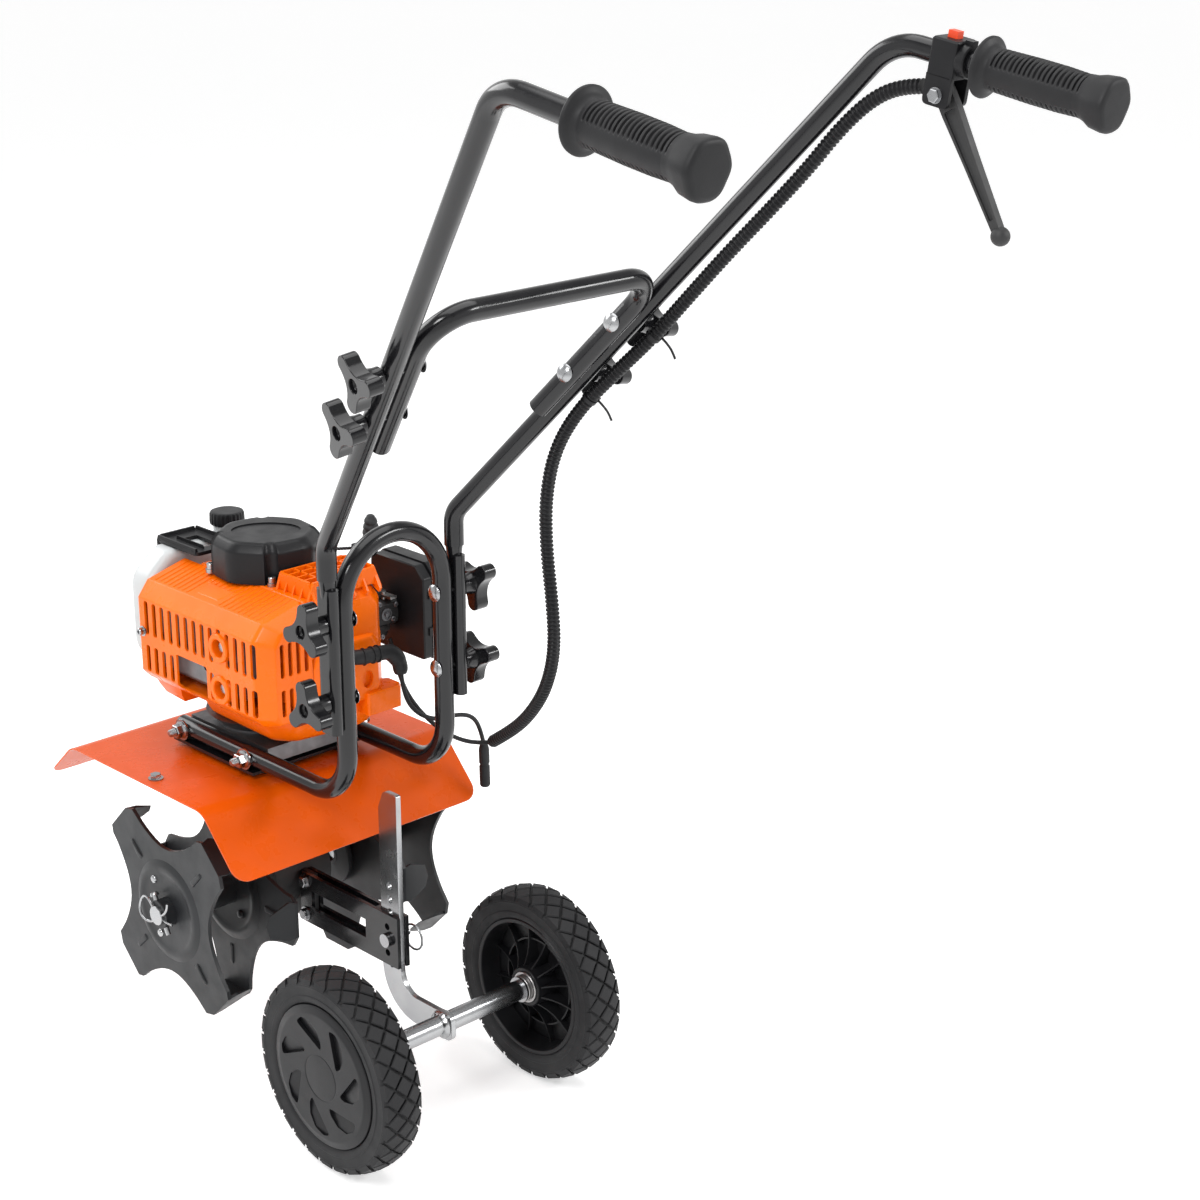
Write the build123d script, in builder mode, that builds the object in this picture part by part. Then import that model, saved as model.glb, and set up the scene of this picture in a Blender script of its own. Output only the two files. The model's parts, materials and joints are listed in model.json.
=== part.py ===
from build123d import *
import math
import os

# Two-wheeled petrol mini tiller, standing on its transport wheels.
# Frame: +Z up, +Y the direction of travel, +X the operator's right, floor at z = 0. Millimetres.
os.makedirs("parts", exist_ok=True)

# ---------------------------------------------------------------- driving dimensions
TINE_Y = 303.58           # tine shaft, forward of the origin
TINE_Z = 181.0
ROTOR_R = 115.0
WHEEL_R = 100.0
WHEEL_X = 126.5           # middle of each tyre
WHEEL_W = 42.0
AXLE_Y = TINE_Y - 248.0
AXLE_R = 10.0
TUBE_R = 9.5
TUBE_WALL = 1.5
POST_X = 59.4             # lower frame tube, half width
POST_Y = TINE_Y - 190.0
LEG_Z = 334.0
ARCH_Z = 585.0
BAR_Y = TINE_Y - 175.0    # depth bar, middle of its upright
BAR_W = 28.0
BAR_T = 6.0
HOLE_PITCH = 14.0
PIN_Z = 166.0
PIN_HOLE_R = 3.5
FENDER_X = 150.0
FENDER_Z = 315.0
SHEET_T = 1.5
CRANK_Y = TINE_Y + 22.0
WORM_TEETH = 24
WORM_PITCH_R = 6.0
WHEEL_PITCH_R = CRANK_Y - TINE_Y - WORM_PITCH_R
WORM_LEAD = 2 * math.pi * WHEEL_PITCH_R / WORM_TEETH
CYLINDER_Z = 445.0
BORE_R = 20.05
FIT = 0.05                # radial clearance of a running fit
DRUM_Z = 322.0
CASE_Z0, CASE_Z1 = 356.0, 504.0
STARTER_Y = TINE_Y + 5.0
STARTER_R = 54.5
STARTER_TOP = 544.0
SIDES = (("left", -1), ("right", 1))

# Handlebar stations on the right side: foot, lower bend, upper bend, grip end.
BAR_FOOT = (75.5, POST_Y, 408.0)
BAR_BEND_1 = (75.5, POST_Y, 588.0)
BAR_BEND_2 = (213.0, TINE_Y - 587.0, 1044.0)
BAR_END = (221.0, TINE_Y - 795.0, 1011.0)
FLANGE_SHARE = 0.428      # the grip's flange, as a share of the last run


def save(part, name):
    """Label one sub-part and write it under its node name."""
    part.label = name
    export_step(part, f"parts/{name}.step")


def save_group(pieces, name):
    """Write several touching pieces as separate solids of one node."""
    save(Compound([solid for piece in pieces for solid in piece.solids()]), name)


def sided(point, side):
    """The same station on the left (-1) or the right (1)."""
    return Vector(side * point[0], point[1], point[2])


def along(start, end, share):
    """The point a given share of the way from start to end."""
    return Vector(*start) + (Vector(*end) - Vector(*start)) * share


def rod(start, end, radius):
    """A plain round bar between two points; call it inside a BuildPart."""
    run = Vector(*end) - Vector(*start)
    with BuildSketch(Plane(origin=start, z_dir=run)) as section:
        Circle(radius)
    extrude(section.sketch, amount=run.length)


def bore(start, end, radius):
    """A round hole between two points; call it inside a BuildPart."""
    run = Vector(*end) - Vector(*start)
    with BuildSketch(Plane(origin=start, z_dir=run)) as section:
        Circle(radius)
    extrude(section.sketch, amount=run.length, mode=Mode.SUBTRACT)


def block(low, high, mode=Mode.ADD):
    """A box between two corners; call it inside a BuildPart."""
    with BuildSketch(Plane(origin=(0, 0, low[2]))) as section:
        with Locations(((low[0] + high[0]) / 2, (low[1] + high[1]) / 2)):
            Rectangle(high[0] - low[0], high[1] - low[1])
    extrude(section.sketch, amount=high[2] - low[2], mode=mode)


def tube(points, radii, radius, inner=0.0):
    """A round tube bent along a route; call it inside a BuildPart."""
    with BuildLine() as route:
        FilletPolyline(*points, radius=radii)
    wire = route.wires()[0]
    for size, mode in ((radius, Mode.ADD), (inner, Mode.SUBTRACT)):
        if size > 0:
            with BuildSketch(Plane(origin=wire @ 0, z_dir=wire % 0)) as section:
                Circle(size)
            sweep(section.sketch, path=wire, mode=mode)
    return wire.length


def cord_radii(points):
    """One radius for each corner: 0.45 of the shorter run over the tangent of half the turn."""
    radii = []
    for before, corner, after in zip(points, points[1:], points[2:]):
        run_in = Vector(*corner) - Vector(*before)
        run_out = Vector(*after) - Vector(*corner)
        half = math.radians(run_in.get_angle(run_out)) / 2
        radii.append(0.45 * min(run_in.length, run_out.length) / math.tan(half))
    return radii


# ---------------------------------------------------------------- frame and handlebars
with BuildPart() as lower_frame:
    leg_end = TINE_Y + 80
    tube(
        [(-POST_X, leg_end, LEG_Z), (-POST_X, POST_Y, LEG_Z), (-POST_X, POST_Y, ARCH_Z),
         (POST_X, POST_Y, ARCH_Z), (POST_X, POST_Y, LEG_Z), (POST_X, leg_end, LEG_Z)],
        [48, POST_X - 0.2, POST_X - 0.2, 48], TUBE_R, TUBE_R - TUBE_WALL)
    for bolt_z in (438, 514):
        bore((-80, POST_Y, bolt_z), (80, POST_Y, bolt_z), 4.2)
    for stud_y in (TINE_Y - 38, TINE_Y + 67):
        bore((-80, stud_y, LEG_Z), (80, stud_y, LEG_Z), 4.2)
save(lower_frame.part, "lower_frame")

# The cross tube lies against the inner side of both handlebars, one tube diameter inboard.
slope = (Vector(*BAR_BEND_2) - Vector(*BAR_BEND_1)).normalized()
inward = (Vector(-1, 0, 0) + slope * slope.X).normalized()
CROSS_GAP = 2 * TUBE_R + 0.1
CROSS_STATIONS = (0.33, 0.44)      # the two bolts, as shares of the sloping run
cross_low = along(BAR_BEND_1, BAR_BEND_2, 0.25) + inward * CROSS_GAP
cross_corner = along(BAR_BEND_1, BAR_BEND_2, 0.545) + inward * CROSS_GAP


def cross_bolt(station, side, offset):
    """A point on a cross-tube bolt's line: offset inboard of the handlebar's middle line."""
    return sided(tuple(along(BAR_BEND_1, BAR_BEND_2, station) + inward * offset), side)


# The foot of each handlebar is pressed flat so that it lies along the post.
NECK_Z = (536, 560)
with BuildPart() as flat_foot:
    with BuildSketch(Plane.XY.offset(BAR_FOOT[2])):
        with Locations((-BAR_FOOT[0], POST_Y)):
            RectangleRounded(12.4, 23.4, 5.5)
    extrude(amount=NECK_Z[0] + 12 - BAR_FOOT[2])
    for neck_z, neck_r in zip(NECK_Z, (6.0, TUBE_R - TUBE_WALL / 2)):
        with BuildSketch(Plane.XY.offset(neck_z)):
            with Locations((-BAR_FOOT[0], POST_Y)):
                Circle(neck_r)
    loft()

with BuildPart() as bar_tube:
    tube([sided(p, -1) for p in ((BAR_FOOT[0], POST_Y, 557.0), BAR_BEND_1, BAR_BEND_2, BAR_END)],
         [26, 48], TUBE_R, TUBE_R - TUBE_WALL)

with BuildPart() as handlebar:
    add(bar_tube.part)
    add(flat_foot.part)
    for bolt_z in (438, 514):
        bore((-60, POST_Y, bolt_z), (-90, POST_Y, bolt_z), 4.2)
    for station in CROSS_STATIONS:
        bore(cross_bolt(station, -1, 12), cross_bolt(station, -1, -12), 4.2)
save(handlebar.part, "left_handlebar")
save(mirror(handlebar.part, about=Plane.YZ), "right_handlebar")

with BuildPart() as cross_tube:
    tube([sided(tuple(cross_low), -1), sided(tuple(cross_corner), -1),
          sided(tuple(cross_corner), 1), sided(tuple(cross_low), 1)],
         [36, 36], TUBE_R, TUBE_R - TUBE_WALL)
    for side in (-1, 1):
        for station in CROSS_STATIONS:
            bore(cross_bolt(station, side, CROSS_GAP + 12), cross_bolt(station, side, CROSS_GAP - 12), 4.2)
save(cross_tube.part, "cross_tube")

GRIP_R = 17.0
for name, side in SIDES:
    tip = sided(BAR_END, side)
    flange = sided(tuple(along(BAR_BEND_2, BAR_END, FLANGE_SHARE)), side)
    grip_axis = (tip - flange).normalized()
    with BuildPart() as grip:
        rod(flange, flange + grip_axis * 5, 24)
        rod(flange + grip_axis * 4, tip - grip_axis * 16, GRIP_R)
        rod(tip - grip_axis * 18, tip + grip_axis * 3, 20.5)
        bore(flange - grip_axis * 1, tip + grip_axis * 0.05, TUBE_R)
    save(grip.part, f"{name}_grip")

# ---------------------------------------------------------------- bolts and star knobs
KNOB_BOSS = 12.0
KNOB_T = 14.0


def star_knob(seat, outward):
    """A three-lobed knob on a short boss, seated at a point and facing outward."""
    with BuildPart() as knob:
        base = Plane(origin=seat, z_dir=outward)
        with BuildSketch(base):
            Circle(9)
        extrude(amount=KNOB_BOSS + 1)
        with BuildSketch(base.offset(KNOB_BOSS)):
            Circle(11.5)
            with PolarLocations(20, 3, start_angle=30):
                Circle(7.5)
            with PolarLocations(11, 3, start_angle=30):
                Rectangle(20, 13)
        extrude(amount=KNOB_T)
        with BuildSketch(base):
            Circle(4.0 + FIT)
        extrude(amount=KNOB_BOSS + 6, mode=Mode.SUBTRACT)
    return knob.part


def carriage_bolt(head, outward, length):
    """A mushroom head and its shank, head inboard."""
    rod(head - outward * 3.6, head, 8.5)
    rod(head - outward * 0.5, head + outward * length, 4.0)


POST_KNOB_X = 82.2
with BuildPart() as carriage_bolts:
    for side in (-1, 1):
        for bolt_z in (438, 514):
            carriage_bolt(Vector(side * (POST_X - TUBE_R - 0.1), POST_Y, bolt_z), Vector(side, 0, 0), 46)
        for station in CROSS_STATIONS:
            head = cross_bolt(station, side, CROSS_GAP + TUBE_R + 0.1)
            outward = (cross_bolt(station, side, 0) - head).normalized()
            carriage_bolt(head, outward, 52)
save(carriage_bolts.part, "carriage_bolts")

for name, side in SIDES:
    for tag, bolt_z in (("lower", 438), ("upper", 514)):
        save(star_knob(Vector(side * POST_KNOB_X, POST_Y, bolt_z), Vector(side, 0, 0)),
             f"{name}_{tag}_post_knob")
    for tag, station in zip(("lower", "upper"), CROSS_STATIONS):
        seat = cross_bolt(station, side, -TUBE_R - 0.4)
        outward = (seat - cross_bolt(station, side, 0)).normalized()
        save(star_knob(seat, outward), f"{name}_{tag}_bar_knob")

# ---------------------------------------------------------------- wheels and depth bar
BEARING_R = 16.0
RIM_R = 72.0
for name, side in SIDES:
    wheel_plane = Plane(origin=(side * WHEEL_X, AXLE_Y, WHEEL_R), z_dir=(side, 0, 0))

    with BuildPart() as tyre:
        with BuildSketch(Plane.XY):
            with BuildLine():
                Polyline((RIM_R, -WHEEL_W / 2 + 2), (RIM_R + 4, -WHEEL_W / 2), (WHEEL_R - 9, -WHEEL_W / 2))
                ThreePointArc((WHEEL_R - 9, -WHEEL_W / 2), (WHEEL_R - 3, -WHEEL_W / 2 + 5), (WHEEL_R - 1, -11))
                ThreePointArc((WHEEL_R - 1, -11), (WHEEL_R, 0), (WHEEL_R - 1, 11))
                ThreePointArc((WHEEL_R - 1, 11), (WHEEL_R - 3, WHEEL_W / 2 - 5), (WHEEL_R - 9, WHEEL_W / 2))
                Polyline((WHEEL_R - 9, WHEEL_W / 2), (RIM_R + 4, WHEEL_W / 2), (RIM_R, WHEEL_W / 2 - 2),
                         (RIM_R, -WHEEL_W / 2 + 2))
            make_face()
        revolve(axis=Axis.Y)
    placed_tyre = wheel_plane.location * Location((0, 0, 0), (90, 0, 0)) * tyre.part
    save(placed_tyre, f"{name}_tyre")

    with BuildPart() as rim:
        with BuildSketch(wheel_plane.offset(-18)):
            Circle(RIM_R)
            Circle(RIM_R - 5, mode=Mode.SUBTRACT)
        extrude(amount=36)
        with BuildSketch(wheel_plane.offset(4)):
            Circle(RIM_R - 3)
        extrude(amount=4)
        with BuildSketch(wheel_plane.offset(-18)):
            Circle(BEARING_R + 6)
        extrude(amount=32)
        with BuildSketch(wheel_plane.offset(-14)):
            with PolarLocations(44, 10):
                Rectangle(50, 4)
        extrude(amount=20)
        with BuildSketch(wheel_plane.offset(-20)):
            Circle(AXLE_R + 3)
        extrude(amount=36, mode=Mode.SUBTRACT)
        for low, depth in ((-20, 12), (4, 12)):
            with BuildSketch(wheel_plane.offset(low)):
                Circle(BEARING_R + FIT)
            extrude(amount=depth, mode=Mode.SUBTRACT)
    save(rim.part, f"{name}_rim")

    with BuildPart() as hub_cap:
        with BuildSketch(wheel_plane.offset(18)):
            Circle(RIM_R - 0.3)
        extrude(amount=2.5)
        with BuildSketch(wheel_plane.offset(18)):
            Circle(RIM_R - 9)
        extrude(amount=4.5)
        with BuildSketch(wheel_plane.offset(14.2)):
            Circle(RIM_R - 5.2)
            Circle(RIM_R - 8, mode=Mode.SUBTRACT)
        extrude(amount=4)
    save(hub_cap.part, f"{name}_hub_cap")

BAR_HOLES = [PIN_Z + step * HOLE_PITCH for step in range(-2, 5)]
with BuildPart() as depth_bar:
    with BuildSketch(Plane(origin=(-BAR_T / 2, 0, 0), x_dir=(0, 1, 0), z_dir=(1, 0, 0))):
        with BuildLine():
            front, rear = BAR_Y + BAR_W / 2, BAR_Y - BAR_W / 2
            low, high, tail, top = WHEEL_R - 14, WHEEL_R + 14, AXLE_Y - 16, FENDER_Z + 6
            Line((rear, top), (front - 12, top))
            Line((front - 12, top), (front, top - 14))
            Line((front, top - 14), (front, low + 50))
            RadiusArc((front, low + 50), (front - 50, low), -50)
            Line((front - 50, low), (tail, low))
            Line((tail, low), (tail, high))
            Line((tail, high), (rear - 22, high))
            RadiusArc((rear - 22, high), (rear, high + 22), 22)
            Line((rear, high + 22), (rear, top))
        make_face()
    extrude(amount=BAR_T)
    for hole_z in BAR_HOLES:
        bore((-10, BAR_Y, hole_z), (10, BAR_Y, hole_z), PIN_HOLE_R)
    bore((-10, AXLE_Y, WHEEL_R), (10, AXLE_Y, WHEEL_R), AXLE_R)
save(depth_bar.part, "depth_bar")

AXLE_END = WHEEL_X + 15.5
with BuildPart() as wheel_axle:
    rod((-AXLE_END, AXLE_Y, WHEEL_R), (AXLE_END, AXLE_Y, WHEEL_R), AXLE_R)
save(wheel_axle.part, "wheel_axle")

with BuildPart() as wheel_bearings:
    for side in (-1, 1):
        for low, high in ((-25.5, -8.1), (4.1, 13)):
            rod((side * (WHEEL_X + low), AXLE_Y, WHEEL_R), (side * (WHEEL_X + high), AXLE_Y, WHEEL_R), BEARING_R)
    bore((-160, AXLE_Y, WHEEL_R), (160, AXLE_Y, WHEEL_R), AXLE_R)
save(wheel_bearings.part, "wheel_bearings")

# ---------------------------------------------------------------- drag bracket and its pin
CHEEK_IN, CHEEK_OUT = BAR_T / 2 + 0.3, BAR_T / 2 + 4.3
BRACKET_FRONT = TINE_Y - 36
with BuildPart() as drag_bracket:
    for side in (-1, 1):
        low_x, high_x = sorted((side * CHEEK_IN, side * CHEEK_OUT))
        block((low_x, BAR_Y - 15.5, PIN_Z - 27), (high_x, BRACKET_FRONT, PIN_Z + 27))
    block((-CHEEK_OUT, BAR_Y + 16, PIN_Z - 27), (CHEEK_OUT, BAR_Y + 22, PIN_Z + 27))
    block((-40, BAR_Y + 34, PIN_Z - 10), (40, BRACKET_FRONT - 18, PIN_Z + 10), mode=Mode.SUBTRACT)
    for hole_z in (PIN_Z - HOLE_PITCH, PIN_Z, PIN_Z + HOLE_PITCH):
        bore((-20, BAR_Y, hole_z), (20, BAR_Y, hole_z), PIN_HOLE_R)
    for bolt_z in (PIN_Z - 18, PIN_Z + 18):
        bore((-20, BRACKET_FRONT - 8, bolt_z), (20, BRACKET_FRONT - 8, bolt_z), 3.0)
save(drag_bracket.part, "drag_bracket")

PIN_RING_X = 15.0
with BuildPart() as hitch_pin:
    rod((-CHEEK_OUT - 0.3, BAR_Y, PIN_Z), (PIN_RING_X + 4, BAR_Y, PIN_Z), PIN_HOLE_R - 0.1)
    rod((-CHEEK_OUT - 4.3, BAR_Y, PIN_Z), (-CHEEK_OUT - 0.3, BAR_Y, PIN_Z), 7.0)
    bore((PIN_RING_X, BAR_Y, PIN_Z - 9), (PIN_RING_X, BAR_Y, PIN_Z + 9), 1.5)

PIN_RING_R = 13.0
with BuildPart() as pin_ring:
    with BuildSketch(Plane(origin=(PIN_RING_X, BAR_Y, PIN_Z), x_dir=(0, 1, 0), z_dir=(0, 0, 1))):
        Circle(1.1)
    revolve(axis=Axis((PIN_RING_X, BAR_Y - PIN_RING_R, PIN_Z), (1, 0, 0)))
save_group([hitch_pin.part, pin_ring.part], "hitch_pin_and_ring")

# ---------------------------------------------------------------- fender and mounting plate
FENDER_FRONT, FENDER_REAR = TINE_Y + 147, TINE_Y - 79
with BuildPart() as fender:
    with BuildSketch(Plane(origin=(-FENDER_X, 0, 0), x_dir=(0, 1, 0), z_dir=(1, 0, 0))):
        with BuildLine():
            Polyline((FENDER_REAR - 54, FENDER_Z - 58), (FENDER_REAR, FENDER_Z), (FENDER_FRONT, FENDER_Z),
                     (FENDER_FRONT + 47, FENDER_Z - 43), (FENDER_FRONT + 46, FENDER_Z - 44.1),
                     (FENDER_FRONT - 0.6, FENDER_Z - SHEET_T), (FENDER_REAR + 0.6, FENDER_Z - SHEET_T),
                     (FENDER_REAR - 53, FENDER_Z - 59.1), (FENDER_REAR - 54, FENDER_Z - 58))
        make_face()
    extrude(amount=2 * FENDER_X)
    bore((0, CRANK_Y, 300), (0, CRANK_Y, 320), 26)
    for side in (-1, 1):
        bore((side * 135, TINE_Y + 19, 300), (side * 135, TINE_Y + 19, 320), 3.1)
        for plate_y in (TINE_Y - 42, TINE_Y + 74):
            bore((side * 44, plate_y, 300), (side * 44, plate_y, 320), 3.1)
save(fender.part, "fender")

PLATE_Z = FENDER_Z + 5.0
with BuildPart() as mounting_plate:
    block((-70, TINE_Y - 52, PLATE_Z), (70, TINE_Y + 82, PLATE_Z + 3))
    bore((0, CRANK_Y, 300), (0, CRANK_Y, 330), 48)
    for side in (-1, 1):
        for plate_y in (TINE_Y - 42, TINE_Y + 74):
            rod((side * 44, plate_y, FENDER_Z), (side * 44, plate_y, PLATE_Z + 1), 8)
            bore((side * 44, plate_y, FENDER_Z - 5), (side * 44, plate_y, PLATE_Z + 9), 3.1)
save(mounting_plate.part, "mounting_plate")

with BuildPart() as frame_fasteners:
    for side in (-1, 1):
        for stud_y in (TINE_Y - 38, TINE_Y + 67):
            rod((side * 50.2, stud_y, LEG_Z), (side * 86, stud_y, LEG_Z), 4.0)
            rod((side * 69.2, stud_y, LEG_Z), (side * 71.0, stud_y, LEG_Z), 10)
            rod((side * 70.8, stud_y, LEG_Z), (side * 78.0, stud_y, LEG_Z), 7.2)
        rod((side * 135, TINE_Y + 19, FENDER_Z - 10), (side * 135, TINE_Y + 19, FENDER_Z + 8), 3.0)
        rod((side * 135, TINE_Y + 19, FENDER_Z + 0.1), (side * 135, TINE_Y + 19, FENDER_Z + 5), 5.5)
        rod((side * 135, TINE_Y + 19, FENDER_Z - 6), (side * 135, TINE_Y + 19, FENDER_Z - SHEET_T - 0.1), 5.5)
        for plate_y in (TINE_Y - 42, TINE_Y + 74):
            rod((side * 44, plate_y, FENDER_Z - 10), (side * 44, plate_y, PLATE_Z + 4), 3.0)
            rod((side * 44, plate_y, FENDER_Z - 6.5), (side * 44, plate_y, FENDER_Z - SHEET_T - 0.1), 5.5)
    for bolt_z in (PIN_Z - 18, PIN_Z + 18):
        rod((-CHEEK_OUT - 4, BRACKET_FRONT - 8, bolt_z), (-CHEEK_OUT - 0.1, BRACKET_FRONT - 8, bolt_z), 5.0)
        rod((-CHEEK_OUT - 1, BRACKET_FRONT - 8, bolt_z), (CHEEK_OUT + 5, BRACKET_FRONT - 8, bolt_z), 2.9)
        rod((CHEEK_OUT + 0.1, BRACKET_FRONT - 8, bolt_z), (CHEEK_OUT + 4, BRACKET_FRONT - 8, bolt_z), 5.0)

# ---------------------------------------------------------------- gearbox: worm and worm wheel
SHAFT_R = 10.0
GEAR_HALF = 34.0
GEAR_FLANGE_Z = FENDER_Z - SHEET_T - 0.2
with BuildPart() as gearbox:
    rod((-GEAR_HALF, TINE_Y, TINE_Z), (GEAR_HALF, TINE_Y, TINE_Z), 34)
    rod((0, CRANK_Y, TINE_Z - 32), (0, CRANK_Y, GEAR_FLANGE_Z), 20)
    rod((0, CRANK_Y, GEAR_FLANGE_Z - 8), (0, CRANK_Y, GEAR_FLANGE_Z), 34)
    block((-CHEEK_IN + 0.2, BRACKET_FRONT - 16, PIN_Z - 26), (CHEEK_IN - 0.2, TINE_Y - 20, PIN_Z + 26))
    bore((-10, TINE_Y, TINE_Z), (10, TINE_Y, TINE_Z), 20)
    bore((-60, TINE_Y, TINE_Z), (60, TINE_Y, TINE_Z), SHAFT_R + 1.5)
    for side in (-1, 1):
        bore((side * 9, TINE_Y, TINE_Z), (side * 24, TINE_Y, TINE_Z), 17)
    bore((0, CRANK_Y, TINE_Z - 22), (0, CRANK_Y, 320), 9.5)
    bore((0, CRANK_Y, TINE_Z - 28), (0, CRANK_Y, TINE_Z - 18), 9.5)
    bore((0, CRANK_Y, 295), (0, CRANK_Y, 306), 14)
    for bolt_z in (PIN_Z - 18, PIN_Z + 18):
        bore((-20, BRACKET_FRONT - 8, bolt_z), (20, BRACKET_FRONT - 8, bolt_z), 3.0)
gearbox_halves = []
for keep in (Keep.BOTTOM, Keep.TOP):
    with BuildPart() as gearbox_half:
        add(gearbox.part)
        split(bisect_by=Plane.YZ, keep=keep)
    gearbox_halves.append(gearbox_half.part)
save_group(gearbox_halves, "gearbox_halves")

with BuildPart() as gearbox_bearings:
    for side in (-1, 1):
        rod((side * 12, TINE_Y, TINE_Z), (side * 23, TINE_Y, TINE_Z), 17)
    rod((0, CRANK_Y, TINE_Z - 27), (0, CRANK_Y, TINE_Z - 20), 9.5)
    rod((0, CRANK_Y, 295), (0, CRANK_Y, 306), 14)
    bore((-60, TINE_Y, TINE_Z), (60, TINE_Y, TINE_Z), SHAFT_R + FIT)
    bore((0, CRANK_Y, TINE_Z - 40), (0, CRANK_Y, TINE_Z - 10), 4.0 + FIT)
    bore((0, CRANK_Y, 290), (0, CRANK_Y, 310), 6.0 + FIT)

with BuildPart() as worm_wheel:
    with BuildSketch(Plane(origin=(-4, TINE_Y, TINE_Z), x_dir=(0, 1, 0), z_dir=(1, 0, 0))):
        Circle(WHEEL_PITCH_R - 1.5)
        with PolarLocations(WHEEL_PITCH_R - 1.6, WORM_TEETH):
            Trapezoid(2.4, 5.6, 80, rotation=-90)
        Circle(SHAFT_R, mode=Mode.SUBTRACT)
    extrude(amount=8)
save(worm_wheel.part, "worm_wheel")

DRUM_R = 38.0
with BuildPart() as worm_shaft:
    rod((0, CRANK_Y, TINE_Z - 26), (0, CRANK_Y, TINE_Z + 25), 4.0)
    rod((0, CRANK_Y, TINE_Z + 22), (0, CRANK_Y, DRUM_Z + 2), 6.0)
    rod((0, CRANK_Y, TINE_Z - 19), (0, CRANK_Y, TINE_Z + 23), 4.4)
    with BuildLine(Plane(origin=(0, CRANK_Y, TINE_Z - 4.25 * WORM_LEAD))) as thread_line:
        Helix(WORM_LEAD, 8 * WORM_LEAD, 4.2)
    thread_path = thread_line.wires()[0]
    with BuildSketch(Plane(origin=thread_path @ 0, x_dir=(1, 0, 0), z_dir=thread_path % 0)):
        with Locations((1.4, 0)):
            Rectangle(2.8, 1.2)
    sweep(path=thread_path, is_frenet=True)

with BuildPart() as clutch_drum:
    rod((0, CRANK_Y, DRUM_Z), (0, CRANK_Y, DRUM_Z + 27), DRUM_R)
    bore((0, CRANK_Y, DRUM_Z + 3), (0, CRANK_Y, DRUM_Z + 40), DRUM_R - 3)
    bore((0, CRANK_Y, DRUM_Z - 5), (0, CRANK_Y, DRUM_Z + 5), 6.0)
save_group([worm_shaft.part, clutch_drum.part], "worm_and_drum")

with BuildPart() as tine_shaft:
    rod((-158, TINE_Y, TINE_Z), (158, TINE_Y, TINE_Z), SHAFT_R)
    for side in (-1, 1):
        bore((side * 151, TINE_Y, TINE_Z - 15), (side * 151, TINE_Y, TINE_Z + 15), 2.6)

OUTER_DISC_X, INNER_DISC_X = 140.0, 68.0
BLADE_REACH = 34.0
LOBE_HALF = 25.0
for name, side in SIDES:
    with BuildPart() as tines:
        rod((side * 56, TINE_Y, TINE_Z), (side * 155, TINE_Y, TINE_Z), 14.5)
        for disc_x, bend, start in ((OUTER_DISC_X, -1, 45), (INNER_DISC_X, 1, 0)):
            face = Plane(origin=(side * disc_x, TINE_Y, TINE_Z), x_dir=(0, 1, 0), z_dir=(side, 0, 0))
            with BuildSketch(face.offset(-2)):
                Circle(62)
                for quarter in range(4):
                    turn = math.radians(start + 90 * quarter)
                    ahead, across = Vector(math.cos(turn), math.sin(turn)), Vector(-math.sin(turn), math.cos(turn))
                    with BuildLine():
                        Polyline(*(tuple(ahead * reach + across * half)[:2] for reach, half in (
                            (30, -46), (60, -32), (86, -LOBE_HALF), (ROTOR_R - 5, -LOBE_HALF),
                            (ROTOR_R - 5, LOBE_HALF), (86, LOBE_HALF), (60, 32), (30, 46), (30, -46))))
                    make_face()
            extrude(amount=4)
            for quarter in range(4):
                turn = math.radians(start + 90 * quarter)
                with BuildSketch(face.offset(-2 if bend < 0 else 2)):
                    with Locations(Location(((ROTOR_R - 7.0) * math.cos(turn),
                                             (ROTOR_R - 7.0) * math.sin(turn)), math.degrees(turn))):
                        Rectangle(4, 2 * LOBE_HALF)
                extrude(amount=bend * BLADE_REACH)
            with BuildSketch(face.offset(2 if bend < 0 else -2)):
                Circle(30)
            extrude(amount=-bend * 3)
        bore((side * 40, TINE_Y, TINE_Z), (side * 170, TINE_Y, TINE_Z), SHAFT_R)
        bore((side * 151, TINE_Y, TINE_Z - 25), (side * 151, TINE_Y, TINE_Z + 25), 2.6)
    save(tines.part, f"{name}_tines")

with BuildPart() as tine_clips:
    for side in (-1, 1):
        rod((side * 151, TINE_Y, TINE_Z - 22), (side * 151, TINE_Y, TINE_Z + 22), 2.5)
        rod((side * 151, TINE_Y, TINE_Z + 20), (side * 151, TINE_Y, TINE_Z + 23), 4.5)
save_group([tine_shaft.part, tine_clips.part], "tine_shaft_and_pins")

# ---------------------------------------------------------------- engine
with BuildPart() as clutch_housing:
    rod((0, CRANK_Y, FENDER_Z + 0.3), (0, CRANK_Y, CASE_Z0 - 8), 46)
    with BuildSketch(Plane.XY.offset(CASE_Z0 - 12)):
        with Locations((0, CRANK_Y)):
            Circle(46)
    with BuildSketch(Plane.XY.offset(CASE_Z0 - 0.1)):
        with Locations((0, CRANK_Y)):
            Circle(58)
    loft()
    block((-49.6, TINE_Y - 50, LEG_Z - 8), (49.6, TINE_Y + 79, LEG_Z + 8))
    bore((0, CRANK_Y, 300), (0, CRANK_Y, 400), 10)
    bore((0, CRANK_Y, DRUM_Z - 4), (0, CRANK_Y, 400), DRUM_R + 3)
save(clutch_housing.part, "clutch_housing")

SHOE_R = 33.5
with BuildPart() as clutch_shoes:
    with BuildSketch(Plane.XY.offset(DRUM_Z + 6)):
        with Locations((0, CRANK_Y)):
            Circle(SHOE_R)
            Circle(17, mode=Mode.SUBTRACT)
            Rectangle(8, 90, mode=Mode.SUBTRACT)
    extrude(amount=20)

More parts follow.
